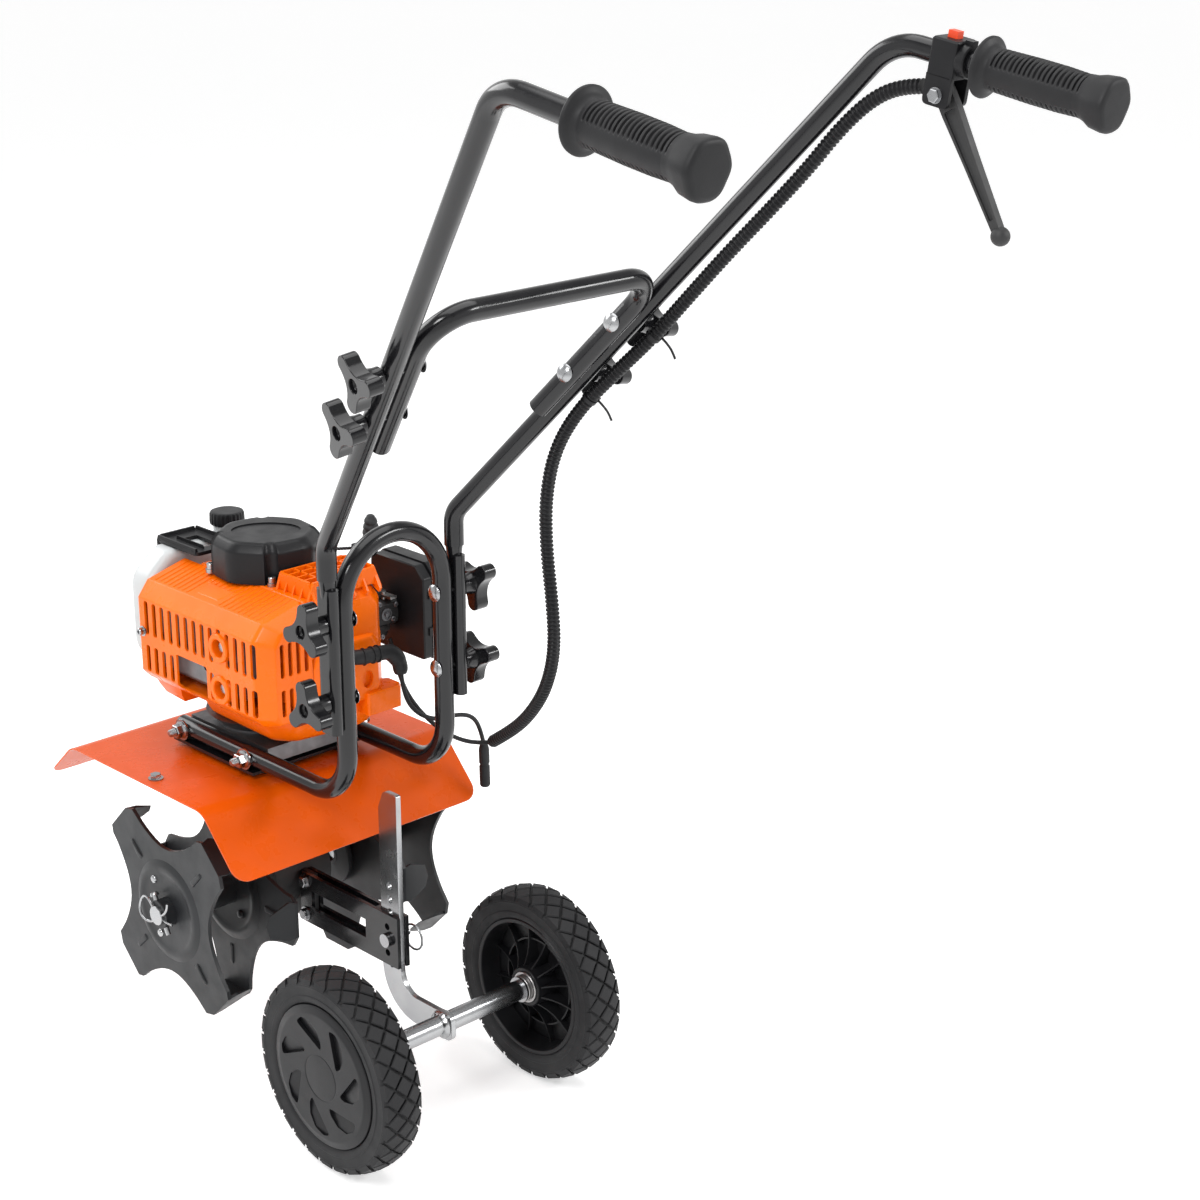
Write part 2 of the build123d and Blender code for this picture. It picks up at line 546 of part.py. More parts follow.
JOURNAL_R = 8.0
CRANK_THROW = 14.0
with BuildPart() as crankshaft:
    rod((0, CRANK_Y, DRUM_Z + 6), (0, CRANK_Y, CYLINDER_Z - 7), JOURNAL_R)
    rod((0, CRANK_Y, DRUM_Z + 6), (0, CRANK_Y, DRUM_Z + 26), 17)
    rod((0, CRANK_Y, CYLINDER_Z + 7), (0, CRANK_Y, CASE_Z1 - 1), JOURNAL_R)
    for web_z in (CYLINDER_Z - 15, CYLINDER_Z + 7):
        rod((0, CRANK_Y, web_z), (0, CRANK_Y, web_z + 8), 24)
    rod((0, CRANK_Y + CRANK_THROW, CYLINDER_Z - 8), (0, CRANK_Y + CRANK_THROW, CYLINDER_Z + 8), 6)
save_group([crankshaft.part, clutch_shoes.part], "crankshaft_and_shoes")

FAN_R = 50.0
with BuildPart() as flywheel:
    rod((0, CRANK_Y, CASE_Z0 + 6), (0, CRANK_Y, CASE_Z0 + 13), FAN_R)
    with BuildSketch(Plane.XY.offset(CASE_Z0 + 12.5)):
        with Locations((0, CRANK_Y)):
            with PolarLocations(36, 12):
                Rectangle(24, 2.4)
    extrude(amount=9)
    bore((0, CRANK_Y, CASE_Z0), (0, CRANK_Y, CASE_Z0 + 40), JOURNAL_R)
save(flywheel.part, "flywheel")

CRANKCASE_Z0, CRANKCASE_Z1 = CASE_Z0 + 34, CASE_Z1 - 4
SPIGOT_Y = TINE_Y - 18.0
with BuildPart() as crankcase:
    rod((0, CRANK_Y, CRANKCASE_Z0), (0, CRANK_Y, CRANKCASE_Z1), 37)
    block((-30, SPIGOT_Y, CYLINDER_Z - 30), (30, CRANK_Y, CYLINDER_Z + 30))
    bore((0, CRANK_Y, CYLINDER_Z - 22), (0, CRANK_Y, CYLINDER_Z + 22), 28)
    bore((0, CRANK_Y, CYLINDER_Z), (0, SPIGOT_Y - 10, CYLINDER_Z), BORE_R)
    bore((0, CRANK_Y, CRANKCASE_Z0 - 5), (0, CRANK_Y, CRANKCASE_Z1 + 5), JOURNAL_R + 3)
    for low, high in ((CRANKCASE_Z0 - 1, CRANKCASE_Z0 + 12), (CRANKCASE_Z1 - 12, CRANKCASE_Z1 + 1)):
        bore((0, CRANK_Y, low), (0, CRANK_Y, high), 15)
save(crankcase.part, "crankcase")

with BuildPart() as crank_bearings:
    for low in (CRANKCASE_Z0 + 1, CRANKCASE_Z1 - 12):
        rod((0, CRANK_Y, low), (0, CRANK_Y, low + 11), 15)
    bore((0, CRANK_Y, CRANKCASE_Z0 - 5), (0, CRANK_Y, CRANKCASE_Z1 + 5), JOURNAL_R + FIT)
save_group([gearbox_bearings.part, crank_bearings.part], "shaft_bearings")

HEAD_Y = TINE_Y - 100.0
with BuildPart() as cylinder:
    rod((0, SPIGOT_Y - 0.1, CYLINDER_Z), (0, HEAD_Y, CYLINDER_Z), 26)
    for fin in range(9):
        fin_y = SPIGOT_Y - 10 - fin * 8.0
        block((-34, fin_y, CYLINDER_Z - 34), (34, fin_y + 2.5, CYLINDER_Z + 34))
    block((24, SPIGOT_Y - 62, CYLINDER_Z + 2), (38, SPIGOT_Y - 36, CYLINDER_Z + 28))
    bore((0, SPIGOT_Y + 5, CYLINDER_Z), (0, HEAD_Y + 18, CYLINDER_Z), BORE_R)
    bore((0, HEAD_Y + 20, CYLINDER_Z), (0, HEAD_Y - 2, CYLINDER_Z), 5.1)
save(cylinder.part, "cylinder")

with BuildPart() as piston:
    rod((0, SPIGOT_Y - 10, CYLINDER_Z), (0, SPIGOT_Y - 42, CYLINDER_Z), BORE_R - 0.07)
    bore((0, SPIGOT_Y - 9, CYLINDER_Z), (0, SPIGOT_Y - 36, CYLINDER_Z), 16)
    rod((0, SPIGOT_Y - 24, CYLINDER_Z - 18), (0, SPIGOT_Y - 24, CYLINDER_Z + 18), 5)
save(piston.part, "piston")

PLUG_Y = HEAD_Y
with BuildPart() as spark_plug:
    rod((0, PLUG_Y + 14, CYLINDER_Z), (0, PLUG_Y - 0.1, CYLINDER_Z), 5.0)
    rod((0, PLUG_Y - 0.1, CYLINDER_Z), (0, PLUG_Y - 7, CYLINDER_Z), 8.0)
    rod((0, PLUG_Y - 6, CYLINDER_Z), (0, PLUG_Y - 16, CYLINDER_Z), 4.0)

with BuildPart() as plug_boot:
    tube([(0, PLUG_Y - 7.2, CYLINDER_Z), (0, PLUG_Y - 30, CYLINDER_Z), (44, PLUG_Y - 34, CYLINDER_Z),
          (50, PLUG_Y - 36, CYLINDER_Z - 24)], [10, 11], 8.0)
    bore((0, PLUG_Y - 6, CYLINDER_Z), (0, PLUG_Y - 17, CYLINDER_Z), 4.1)
save_group([spark_plug.part, plug_boot.part], "spark_plug_and_boot")

# Orange casing: fan case on the right, muffler cover on the left.
SPLIT_X = -38.0
CASE_X = 58.0
CASE_REAR, CASE_FRONT = TINE_Y - 112, TINE_Y + 66
WALL = 2.5
PAN_TOP = CASE_Z0 + 28      # the round fan pan meets the square case here
with BuildPart() as fan_case:
    block((SPLIT_X + 0.1, CASE_REAR, PAN_TOP), (CASE_X, CASE_FRONT, CASE_Z1))
    rod((0, CRANK_Y, CASE_Z0), (0, CRANK_Y, PAN_TOP + 1), 62)
    block((SPLIT_X - 10, CASE_REAR + WALL, PAN_TOP + WALL), (CASE_X - WALL, CASE_FRONT - WALL, CASE_Z1 - WALL),
          mode=Mode.SUBTRACT)
    bore((0, CRANK_Y, CASE_Z0 + 3), (0, CRANK_Y, CASE_Z1 - 10), FAN_R + 4)
    bore((0, CRANK_Y, CASE_Z0 - 3), (0, CRANK_Y, CASE_Z0 + 10), 20)
    bore((0, CRANK_Y, CASE_Z1 - 10), (0, CRANK_Y, CASE_Z1 + 10), 14)
    bore((0, CASE_REAR - 5, CYLINDER_Z), (0, CASE_REAR + 5, CYLINDER_Z), 13)
    with BuildSketch(Plane.XY.offset(CASE_Z1 - 10)):
        with Locations((10, TINE_Y - 80)):
            with GridLocations(17, 15, 5, 3):
                Rectangle(14, 12)
    extrude(amount=20, mode=Mode.SUBTRACT)
    block((CASE_X - 8, SPIGOT_Y - 64, CYLINDER_Z), (CASE_X + 8, SPIGOT_Y - 34, CYLINDER_Z + 30), mode=Mode.SUBTRACT)
save(fan_case.part, "fan_case")

COVER_X = -95.0
COVER_REAR, COVER_FRONT = TINE_Y - 113, TINE_Y + 94
COVER_Z0, COVER_Z1 = 388.0, 497.0
SLOT_ROWS = ((414.0, 28.0), (456.5, 35.0))              # height of each row's middle, slot length
SLOT_PITCH, SLOT_COUNT, SLOT_WIDTH = 13.5, 14, 6.6
RING_Y = TINE_Y - 41.75                                 # ringed openings over the muffler's bolts
RING_R, RING_HOLE_R = 14.5, 9.0


def cover_outline(inset):
    """The muffler cover's end outline in X and Z, drawn in by a wall's thickness."""
    with BuildLine() as outline:
        Polyline((SPLIT_X, COVER_Z0 + inset), (COVER_X + inset, COVER_Z0 + inset),
                 (COVER_X + inset, COVER_Z1 - 8 - inset * 0.6), (COVER_X + 14, COVER_Z1 - inset),
                 (SPLIT_X - 6, CASE_Z1 - inset), (SPLIT_X, CASE_Z1 - inset), (SPLIT_X, COVER_Z0 + inset))
    return outline.line


with BuildPart() as muffler_cover:
    with BuildSketch(Plane(origin=(0, COVER_FRONT, 0), x_dir=(1, 0, 0), z_dir=(0, -1, 0))):
        make_face(cover_outline(0).edges())
    extrude(amount=COVER_FRONT - COVER_REAR)
    with BuildSketch(Plane(origin=(0, COVER_FRONT - WALL, 0), x_dir=(1, 0, 0), z_dir=(0, -1, 0))):
        make_face(cover_outline(WALL).edges())
    extrude(amount=COVER_FRONT - COVER_REAR - 2 * WALL, mode=Mode.SUBTRACT)
    for row_z, slot_length in SLOT_ROWS:
        with BuildSketch(Plane(origin=(COVER_X - 5, TINE_Y - 8, row_z), x_dir=(0, 1, 0), z_dir=(1, 0, 0))):
            with GridLocations(SLOT_PITCH, 0, SLOT_COUNT, 1):
                Rectangle(SLOT_WIDTH, slot_length)
        extrude(amount=12, mode=Mode.SUBTRACT)
    block((COVER_X - 5, TINE_Y - 19.5, 396.5), (COVER_X + 7, TINE_Y + 31.5, 431), mode=Mode.SUBTRACT)
    for row_z, _ in SLOT_ROWS:
        rod((COVER_X + WALL, RING_Y, row_z), (COVER_X - 2, RING_Y, row_z), RING_R)
        bore((COVER_X + WALL + 1, RING_Y, row_z), (COVER_X - 3, RING_Y, row_z), RING_HOLE_R)
save(muffler_cover.part, "muffler_cover")

with BuildPart() as muffler:
    block((-86, TINE_Y - 62, 400), (-44, TINE_Y + 74, 482))
    fillet(muffler.edges().filter_by(Axis.Z), 5)
    block((-84, TINE_Y - 60, 402), (-46, TINE_Y + 72, 480), mode=Mode.SUBTRACT)
    bore((-90, TINE_Y - 8, 425), (-80, TINE_Y - 8, 425), 7)
    for bolt_z, _ in SLOT_ROWS:
        rod((-86, RING_Y, bolt_z), (-90, RING_Y, bolt_z), 7)
save(muffler.part, "muffler")

with BuildPart() as starter_housing:
    rod((0, STARTER_Y, CASE_Z1 + 0.2), (0, STARTER_Y, STARTER_TOP), STARTER_R)
    fillet(starter_housing.faces().sort_by(Axis.Z)[-1].edges(), 5)
    bore((0, STARTER_Y, CASE_Z1 - 1), (0, STARTER_Y, STARTER_TOP - 3), STARTER_R - 3)
    rod((0, CRANK_Y, CASE_Z1 + 6), (0, CRANK_Y, STARTER_TOP - 2), 6)
PULL_ALONG = Vector(0.84, -0.5426, 0).normalized()
PULL_SIDE = Vector(PULL_ALONG.Y, -PULL_ALONG.X, 0)
ROPE_R = 1.6
PULLEY_ROPE_R = 30.5
ROPE_Z = 525.0
rope_tangent = Vector(0, CRANK_Y, ROPE_Z) + PULL_SIDE * PULLEY_ROPE_R
with BuildPart() as starter_shell:
    add(starter_housing.part)
    rod(rope_tangent + PULL_ALONG * 56, rope_tangent + PULL_ALONG * 72, 6)
    bore(rope_tangent + PULL_ALONG * 50, rope_tangent + PULL_ALONG * 80, ROPE_R + 0.6)
save(starter_shell.part, "starter_housing")

with BuildPart() as starter_pulley:
    for low, high in ((ROPE_Z - 6, ROPE_Z - 2.6), (ROPE_Z + 2.6, ROPE_Z + 6)):
        rod((0, CRANK_Y, low), (0, CRANK_Y, high), 33.5)
    rod((0, CRANK_Y, ROPE_Z - 3), (0, CRANK_Y, ROPE_Z + 3), PULLEY_ROPE_R - ROPE_R - 0.4)
    bore((0, CRANK_Y, ROPE_Z - 10), (0, CRANK_Y, ROPE_Z + 10), 6.0 + FIT)
save(starter_pulley.part, "starter_pulley")

GRIP_AT = 112.0
with BuildPart() as starter_rope:
    rod(rope_tangent - PULL_ALONG * 34, rope_tangent + PULL_ALONG * GRIP_AT, ROPE_R)

with BuildPart() as starter_grip:
    grip_seat = rope_tangent + PULL_ALONG * (GRIP_AT - 9)
    rod(grip_seat, grip_seat + PULL_ALONG * 18, 7)
    with BuildSketch(Plane(origin=grip_seat + PULL_ALONG * 16 + Vector(0, 0, -9), z_dir=(0, 0, 1),
                           x_dir=PULL_ALONG)):
        Ellipse(8, 12)
    extrude(amount=42)
    bore(grip_seat - PULL_ALONG * 5, grip_seat + PULL_ALONG * 9, ROPE_R)
save_group([starter_grip.part, starter_rope.part], "starter_grip_and_rope")

# Fuel tank ahead of the engine, on a strap.
TANK_FRONT = TINE_Y + 131
with BuildPart() as tank_inside:
    block((-77.5, TINE_Y + 98.5, 400.5), (63.5, TANK_FRONT - 2.5, 509.5))
    fillet(tank_inside.edges(), 9.5)
with BuildPart() as fuel_tank:
    block((-80, TINE_Y + 96, 398), (66, TANK_FRONT, 512))
    fillet(fuel_tank.edges(), 12)
    rod((30, TINE_Y + 113, 505), (30, TINE_Y + 113, 520), 13)
    add(tank_inside.part, mode=Mode.SUBTRACT)
    bore((30, TINE_Y + 113, 500), (30, TINE_Y + 113, 530), 10)
save(fuel_tank.part, "fuel_tank")

with BuildPart() as fuel_cap:
    rod((30, TINE_Y + 113, 520.2), (30, TINE_Y + 113, 534), 18)
    rod((30, TINE_Y + 113, 508), (30, TINE_Y + 113, 521), 9.9)
save(fuel_cap.part, "fuel_cap")

with BuildPart() as tank_strap:
    block((-30, TINE_Y + 66.3, 506), (-2, TANK_FRONT + 3, 515))
    block((-30, TANK_FRONT + 0.2, 392), (-2, TANK_FRONT + 3, 512))
    block((-30, TINE_Y + 66.3, 392), (-2, TANK_FRONT + 3, 397.8))
    block((-22, TINE_Y + 80, 500), (-10, TANK_FRONT - 8, 520), mode=Mode.SUBTRACT)
    block((-40, TINE_Y + 60, 495), (10, TANK_FRONT + 0.2, 512.2), mode=Mode.SUBTRACT)
save(tank_strap.part, "tank_strap")

# Carburettor and air filter on the right.
CARB = (64.0, SPIGOT_Y - 49, CYLINDER_Z + 15)
with BuildPart() as carburettor:
    block((CARB[0] - 25.9, CARB[1] - 11, CARB[2] - 11), (CARB[0] - 1, CARB[1] + 11, CARB[2] + 11))
    block((CARB[0] - 2, CARB[1] - 18, CARB[2] - 20), (CARB[0] + 27.8, CARB[1] + 18, CARB[2] + 18))
    rod((CARB[0] + 13, CARB[1], CARB[2] - 26), (CARB[0] + 13, CARB[1], CARB[2] - 19), 10)
    bore((CARB[0] - 30, CARB[1], CARB[2]), (CARB[0] + 40, CARB[1], CARB[2]), 7)
    bore((CARB[0] + 13, CARB[1] - 12, CARB[2] + 8), (CARB[0] + 13, CARB[1] - 12, CARB[2] + 30), 2.5 + FIT)
save(carburettor.part, "carburettor")

with BuildPart() as throttle_arm:
    arm_x, arm_y, arm_z = CARB[0] + 13, CARB[1] - 12, CARB[2] + 18.3
    rod((arm_x, arm_y, arm_z - 8), (arm_x, arm_y, arm_z + 4), 2.5)
    block((arm_x - 4, arm_y - 16, arm_z), (arm_x + 4, arm_y + 4, arm_z + 2.5))
save(throttle_arm.part, "throttle_arm")

FILTER = ((92.0, TINE_Y - 124, 416.0), (124.0, TINE_Y - 40, 514.0))
with BuildPart() as air_filter:
    block(*FILTER)
    fillet(air_filter.edges().filter_by(Axis.X), 8)
    block((FILTER[0][0] + 2.5, FILTER[0][1] + 3, FILTER[0][2] + 3),
          (FILTER[1][0] - 2.5, FILTER[1][1] - 3, FILTER[1][2] - 3), mode=Mode.SUBTRACT)
    bore((FILTER[0][0] - 2, CARB[1], CARB[2]), (FILTER[0][0] + 5, CARB[1], CARB[2]), 7)
save(air_filter.part, "air_filter")

# ---------------------------------------------------------------- throttle control on the right handlebar
bar_dir = (Vector(*BAR_END) - Vector(*BAR_BEND_2)).normalized()
perch_at = along(BAR_BEND_2, BAR_END, FLANGE_SHARE) - bar_dir * 32
PERCH_DOWN = (Vector(0, 0, -1) + bar_dir * bar_dir.Z).normalized()
PERCH_SIDE = bar_dir.cross(PERCH_DOWN)
with BuildPart() as throttle_perch:
    with BuildSketch(Plane(origin=perch_at - bar_dir * 13, z_dir=bar_dir, x_dir=PERCH_DOWN)):
        with Locations((12, 0)):
            Rectangle(54, 27)
        Circle(TUBE_R, mode=Mode.SUBTRACT)
    extrude(amount=26)
    with BuildSketch(Plane(origin=perch_at - bar_dir * 20, z_dir=bar_dir, x_dir=PERCH_DOWN)):
        with Locations((29, 0)):
            Rectangle(24, 11)
    extrude(amount=50, mode=Mode.SUBTRACT)
    lever_pivot = perch_at + PERCH_DOWN * 30
    bore(lever_pivot - PERCH_SIDE * 20, lever_pivot + PERCH_SIDE * 20, 2.6)
    ferrule = perch_at + PERCH_DOWN * 29
    rod(ferrule - bar_dir * 10, ferrule - bar_dir * 21, 6.2)
    switch_top = perch_at - PERCH_DOWN * 15
    with BuildSketch(Plane(origin=switch_top - PERCH_DOWN * 3, z_dir=PERCH_DOWN, x_dir=bar_dir)):
        Rectangle(16, 8)
    extrude(amount=6.5, mode=Mode.SUBTRACT)
save(throttle_perch.part, "throttle_perch")

with BuildPart() as lever_screw:
    rod(lever_pivot - PERCH_SIDE * 13.6, lever_pivot + PERCH_SIDE * 16, 2.5)
    rod(lever_pivot - PERCH_SIDE * 16.5, lever_pivot - PERCH_SIDE * 13.6, 5)

save_group([frame_fasteners.part, lever_screw.part], "frame_fasteners")

LEVER_SPAN = 122.0
lever_dir = (bar_dir * 0.62 + PERCH_DOWN * 0.785).normalized()
lever_normal = PERCH_SIDE
with BuildPart() as throttle_lever:
    with BuildSketch(Plane(origin=lever_pivot - lever_normal * 4, z_dir=lever_normal, x_dir=lever_dir)):
        Circle(7.5)
        with BuildLine():
            Polyline((0, -7), (LEVER_SPAN, -3), (LEVER_SPAN, 3), (0, 7), (0, -7))
        make_face()
        Circle(2.5 + FIT, mode=Mode.SUBTRACT)
    extrude(amount=8)
    with BuildSketch(Plane(origin=lever_pivot + lever_dir * LEVER_SPAN, z_dir=lever_normal, x_dir=lever_dir)):
        with BuildLine():
            ThreePointArc((-8, 0), (0, 8), (8, 0))
            Line((8, 0), (-8, 0))
        make_face()
    revolve(axis=Axis(lever_pivot + lever_dir * LEVER_SPAN, lever_dir))
save(throttle_lever.part, "throttle_lever")

with BuildPart() as kill_switch:
    with BuildSketch(Plane(origin=switch_top + PERCH_DOWN * 3.2, z_dir=-PERCH_DOWN, x_dir=bar_dir)):
        Rectangle(9.5, 7.4)
    extrude(amount=9)
save(kill_switch.part, "kill_switch")

# ---------------------------------------------------------------- conduit, throttle cable and ignition lead
CONDUIT_R = 6.5
conduit_route = [
    (214, TINE_Y - 618, 1009.5), (211, TINE_Y - 598, 1008), (206, TINE_Y - 572, 996), (199, TINE_Y - 545, 970),
    (190, TINE_Y - 519, 935), (179, TINE_Y - 486, 897), (166, TINE_Y - 452, 858), (154, TINE_Y - 418, 817),
    (143, TINE_Y - 385, 777), (131, TINE_Y - 349, 740), (119, TINE_Y - 315, 703), (113, TINE_Y - 290, 662),
    (112, TINE_Y - 278, 613), (114, TINE_Y - 277, 562), (117, TINE_Y - 281, 512), (121, TINE_Y - 280, 464),
    (127, TINE_Y - 262, 419), (133, TINE_Y - 232, 381), (139, TINE_Y - 197, 351), (144, TINE_Y - 162, 328)]
with BuildPart() as wiring_conduit:
    conduit_radii = cord_radii(conduit_route)
    conduit_length = tube(conduit_route, conduit_radii, CONDUIT_R)
save(wiring_conduit.part, "wiring_conduit")
conduit_section = math.pi * CONDUIT_R ** 2
print("conduit", round(conduit_length), [round(r) for r in conduit_radii],
      round(wiring_conduit.part.volume / (conduit_section * conduit_length), 3))

CABLE_R = 2.2
cable_route = [
    (144.5, TINE_Y - 160, 327), (134, TINE_Y - 146, 324), (114, TINE_Y - 132, 334), (98, TINE_Y - 116, 352),
    (87, TINE_Y - 100, 376), (82, TINE_Y - 92, 402), (80, TINE_Y - 88, 424), (79, TINE_Y - 84, 433.9)]
with BuildPart() as throttle_cable:
    cable_radii = cord_radii(cable_route)
    cable_length = tube(cable_route, cable_radii, CABLE_R)
print("throttle cable", round(cable_length), [round(r) for r in cable_radii])

lead_route = [
    (50, PLUG_Y - 36.6, 420), (51, PLUG_Y - 38, 400), (60, PLUG_Y - 42, 378), (82, PLUG_Y - 48, 364),
    (108, PLUG_Y - 50, 364), (130, PLUG_Y - 48, 356), (144, PLUG_Y - 44, 338), (150, PLUG_Y - 42, 318)]
with BuildPart() as ignition_lead:
    lead_radii = cord_radii(lead_route)
    lead_length = tube(lead_route, lead_radii, CABLE_R)
print("ignition lead", round(lead_length), [round(r) for r in lead_radii])

with BuildPart() as lead_connector:
    rod((150, PLUG_Y - 42, 317.9), (151, PLUG_Y - 42, 272), 5.5)
save_group([throttle_cable.part, ignition_lead.part, lead_connector.part], "engine_cables")
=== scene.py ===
import math
import json

import bmesh
import bpy
from mathutils import Matrix, Vector


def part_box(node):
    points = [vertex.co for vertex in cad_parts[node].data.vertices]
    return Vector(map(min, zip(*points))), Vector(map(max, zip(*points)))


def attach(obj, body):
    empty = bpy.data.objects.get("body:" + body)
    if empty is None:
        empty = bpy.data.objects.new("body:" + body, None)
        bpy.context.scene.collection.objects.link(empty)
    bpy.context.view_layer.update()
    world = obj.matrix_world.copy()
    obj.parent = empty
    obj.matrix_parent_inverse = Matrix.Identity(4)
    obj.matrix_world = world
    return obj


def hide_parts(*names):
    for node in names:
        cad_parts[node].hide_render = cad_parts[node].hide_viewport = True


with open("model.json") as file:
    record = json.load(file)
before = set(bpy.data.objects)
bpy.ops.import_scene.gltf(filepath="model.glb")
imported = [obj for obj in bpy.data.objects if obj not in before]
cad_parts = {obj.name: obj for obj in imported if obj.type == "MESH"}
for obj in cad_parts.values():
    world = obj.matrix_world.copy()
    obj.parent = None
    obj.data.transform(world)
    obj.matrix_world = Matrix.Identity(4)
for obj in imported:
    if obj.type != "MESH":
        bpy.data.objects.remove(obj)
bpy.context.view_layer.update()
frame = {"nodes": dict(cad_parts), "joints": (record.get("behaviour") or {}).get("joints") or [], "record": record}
MM = 0.001

# ---------------------------------------------------------------- places, in millimetres, from the frame
JOINTS = {joint["name"]: joint for joint in frame["joints"]}


def low(node):
    """A CAD node's lowest corner, in millimetres."""
    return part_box(node)[0] / MM


def high(node):
    """A CAD node's highest corner, in millimetres."""
    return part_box(node)[1] / MM


def middle(node):
    """The middle of a CAD node's box, in millimetres."""
    return (low(node) + high(node)) / 2


def pivot(joint):
    """A point on a hinge's axis, in millimetres."""
    return Vector(JOINTS[joint]["pos_m"]) / MM


def axis(joint):
    """A joint's direction."""
    return Vector(JOINTS[joint]["axis"])


ROTOR = pivot("rotor_spin")
CRANK = pivot("crank_spin")

# ---------------------------------------------------------------- camera, light and floor
camera_data = bpy.data.cameras.new("camera")
camera_data.lens = 73.0
camera = bpy.data.objects.new("camera", camera_data)
camera.location = Vector((-1343, ROTOR.y - 1862, 1255)) * MM
camera.rotation_mode = "QUATERNION"
camera.rotation_quaternion = Vector((0.6556, 0.681, -0.3256)).to_track_quat("-Z", "Y")
bpy.context.scene.collection.objects.link(camera)
bpy.context.scene.camera = camera


def area_light(name, place, target, size, power):
    """A soft box aimed at a point, all in metres and watts."""
    data = bpy.data.lights.new(name, "AREA")
    data.shape = "RECTANGLE"
    data.size, data.size_y, data.energy = size[0], size[1], power
    lamp = bpy.data.objects.new(name, data)
    lamp.location = place
    lamp.rotation_mode = "QUATERNION"
    lamp.rotation_quaternion = (Vector(target) - Vector(place)).to_track_quat("-Z", "Y")
    bpy.context.scene.collection.objects.link(lamp)


area_light("key_box", (-2.2, -0.6, 2.6), (0, 0, 0.45), (0.8, 1.1), 46)
area_light("rear_box", (1.6, -2.2, 2.0), (0, 0, 0.5), (1.4, 0.5), 38)
area_light("front_box", (-0.6, 2.4, 2.2), (0, 0, 0.4), (1.8, 1.4), 36)
area_light("top_box", (0.2, 0.0, 3.0), (0, 0, 0), (2.4, 2.4), 44)


def mapped(tree, source, *limits):
    """A value carried from one range to another: least and most before, then least and most after."""
    ramp = tree.nodes.new("ShaderNodeMapRange")
    for socket, value in zip(("From Min", "From Max", "To Min", "To Max"), limits):
        ramp.inputs[socket].default_value = value
    tree.links.new(source, ramp.inputs["Value"])
    return ramp.outputs["Result"]


def studio_world():
    """White round the horizon and dimmer overhead, so that glossy black keeps its depth."""
    made = bpy.data.worlds.new("studio")
    made.use_nodes = True
    tree = made.node_tree
    place = tree.nodes.new("ShaderNodeTexCoord")
    parts = tree.nodes.new("ShaderNodeSeparateXYZ")
    tree.links.new(place.outputs["Generated"], parts.inputs["Vector"])
    strength = mapped(tree, parts.outputs["Z"], 0.30, 0.70, 1.0, 0.42)
    tree.links.new(strength, tree.nodes["Background"].inputs["Strength"])
    tree.nodes["Background"].inputs["Color"].default_value = (1.0, 1.0, 1.0, 1.0)
    return made


bpy.context.scene.world = studio_world()
bpy.context.scene.view_settings.view_transform = "Standard"


# ---------------------------------------------------------------- materials
BUMP_HEIGHT = 0.0004


def node_material(name, colour, rough, metal=0.0, coat=0.0, coat_rough=0.05, spec=0.5):
    """A principled material and its node tree, ready for detail nodes."""
    made = bpy.data.materials.new(name)
    made.use_nodes = True
    shader = made.node_tree.nodes["Principled BSDF"]
    for socket, value in (("Base Color", (*colour, 1.0)), ("Roughness", rough), ("Metallic", metal),
                          ("Coat Weight", coat), ("Coat Roughness", coat_rough),
                          ("Specular IOR Level", spec)):
        shader.inputs[socket].default_value = value
    return made, shader


def noise(tree, scale, detail=4.0):
    """Noise in object space, so it stays with the piece."""
    place = tree.nodes.new("ShaderNodeTexCoord")
    texture = tree.nodes.new("ShaderNodeTexNoise")
    texture.inputs["Scale"].default_value = scale
    texture.inputs["Detail"].default_value = detail
    tree.links.new(place.outputs["Object"], texture.inputs["Vector"])
    return texture.outputs["Fac"]


def two_tones(tree, source, first, second):
    """A colour that wanders between two tones."""
    ramp = tree.nodes.new("ShaderNodeValToRGB")
    ramp.color_ramp.elements[0].position = 0.35
    ramp.color_ramp.elements[1].position = 0.65
    ramp.color_ramp.elements[0].color = (*first, 1.0)
    ramp.color_ramp.elements[1].color = (*second, 1.0)
    tree.links.new(source, ramp.inputs["Fac"])
    return ramp.outputs["Color"]


def bumped(tree, shader, source, strength):
    """Fine relief from a noise value."""
    bump = tree.nodes.new("ShaderNodeBump")
    bump.inputs["Strength"].default_value = strength
    bump.inputs["Distance"].default_value = BUMP_HEIGHT
    tree.links.new(source, bump.inputs["Height"])
    tree.links.new(bump.outputs["Normal"], shader.inputs["Normal"])


def surface(name, tones, rough, grain=900.0, bump=0.15, patch=14.0, **finish):
    """A surface with slow colour drift, roughness drift and fine grain."""
    made, shader = node_material(name, tones[0], rough[0], **finish)
    tree = made.node_tree
    tree.links.new(two_tones(tree, noise(tree, patch), *tones), shader.inputs["Base Color"])
    tree.links.new(mapped(tree, noise(tree, patch * 4), 0.3, 0.7, *rough), shader.inputs["Roughness"])
    bumped(tree, shader, noise(tree, grain, 3.0), bump)
    return made


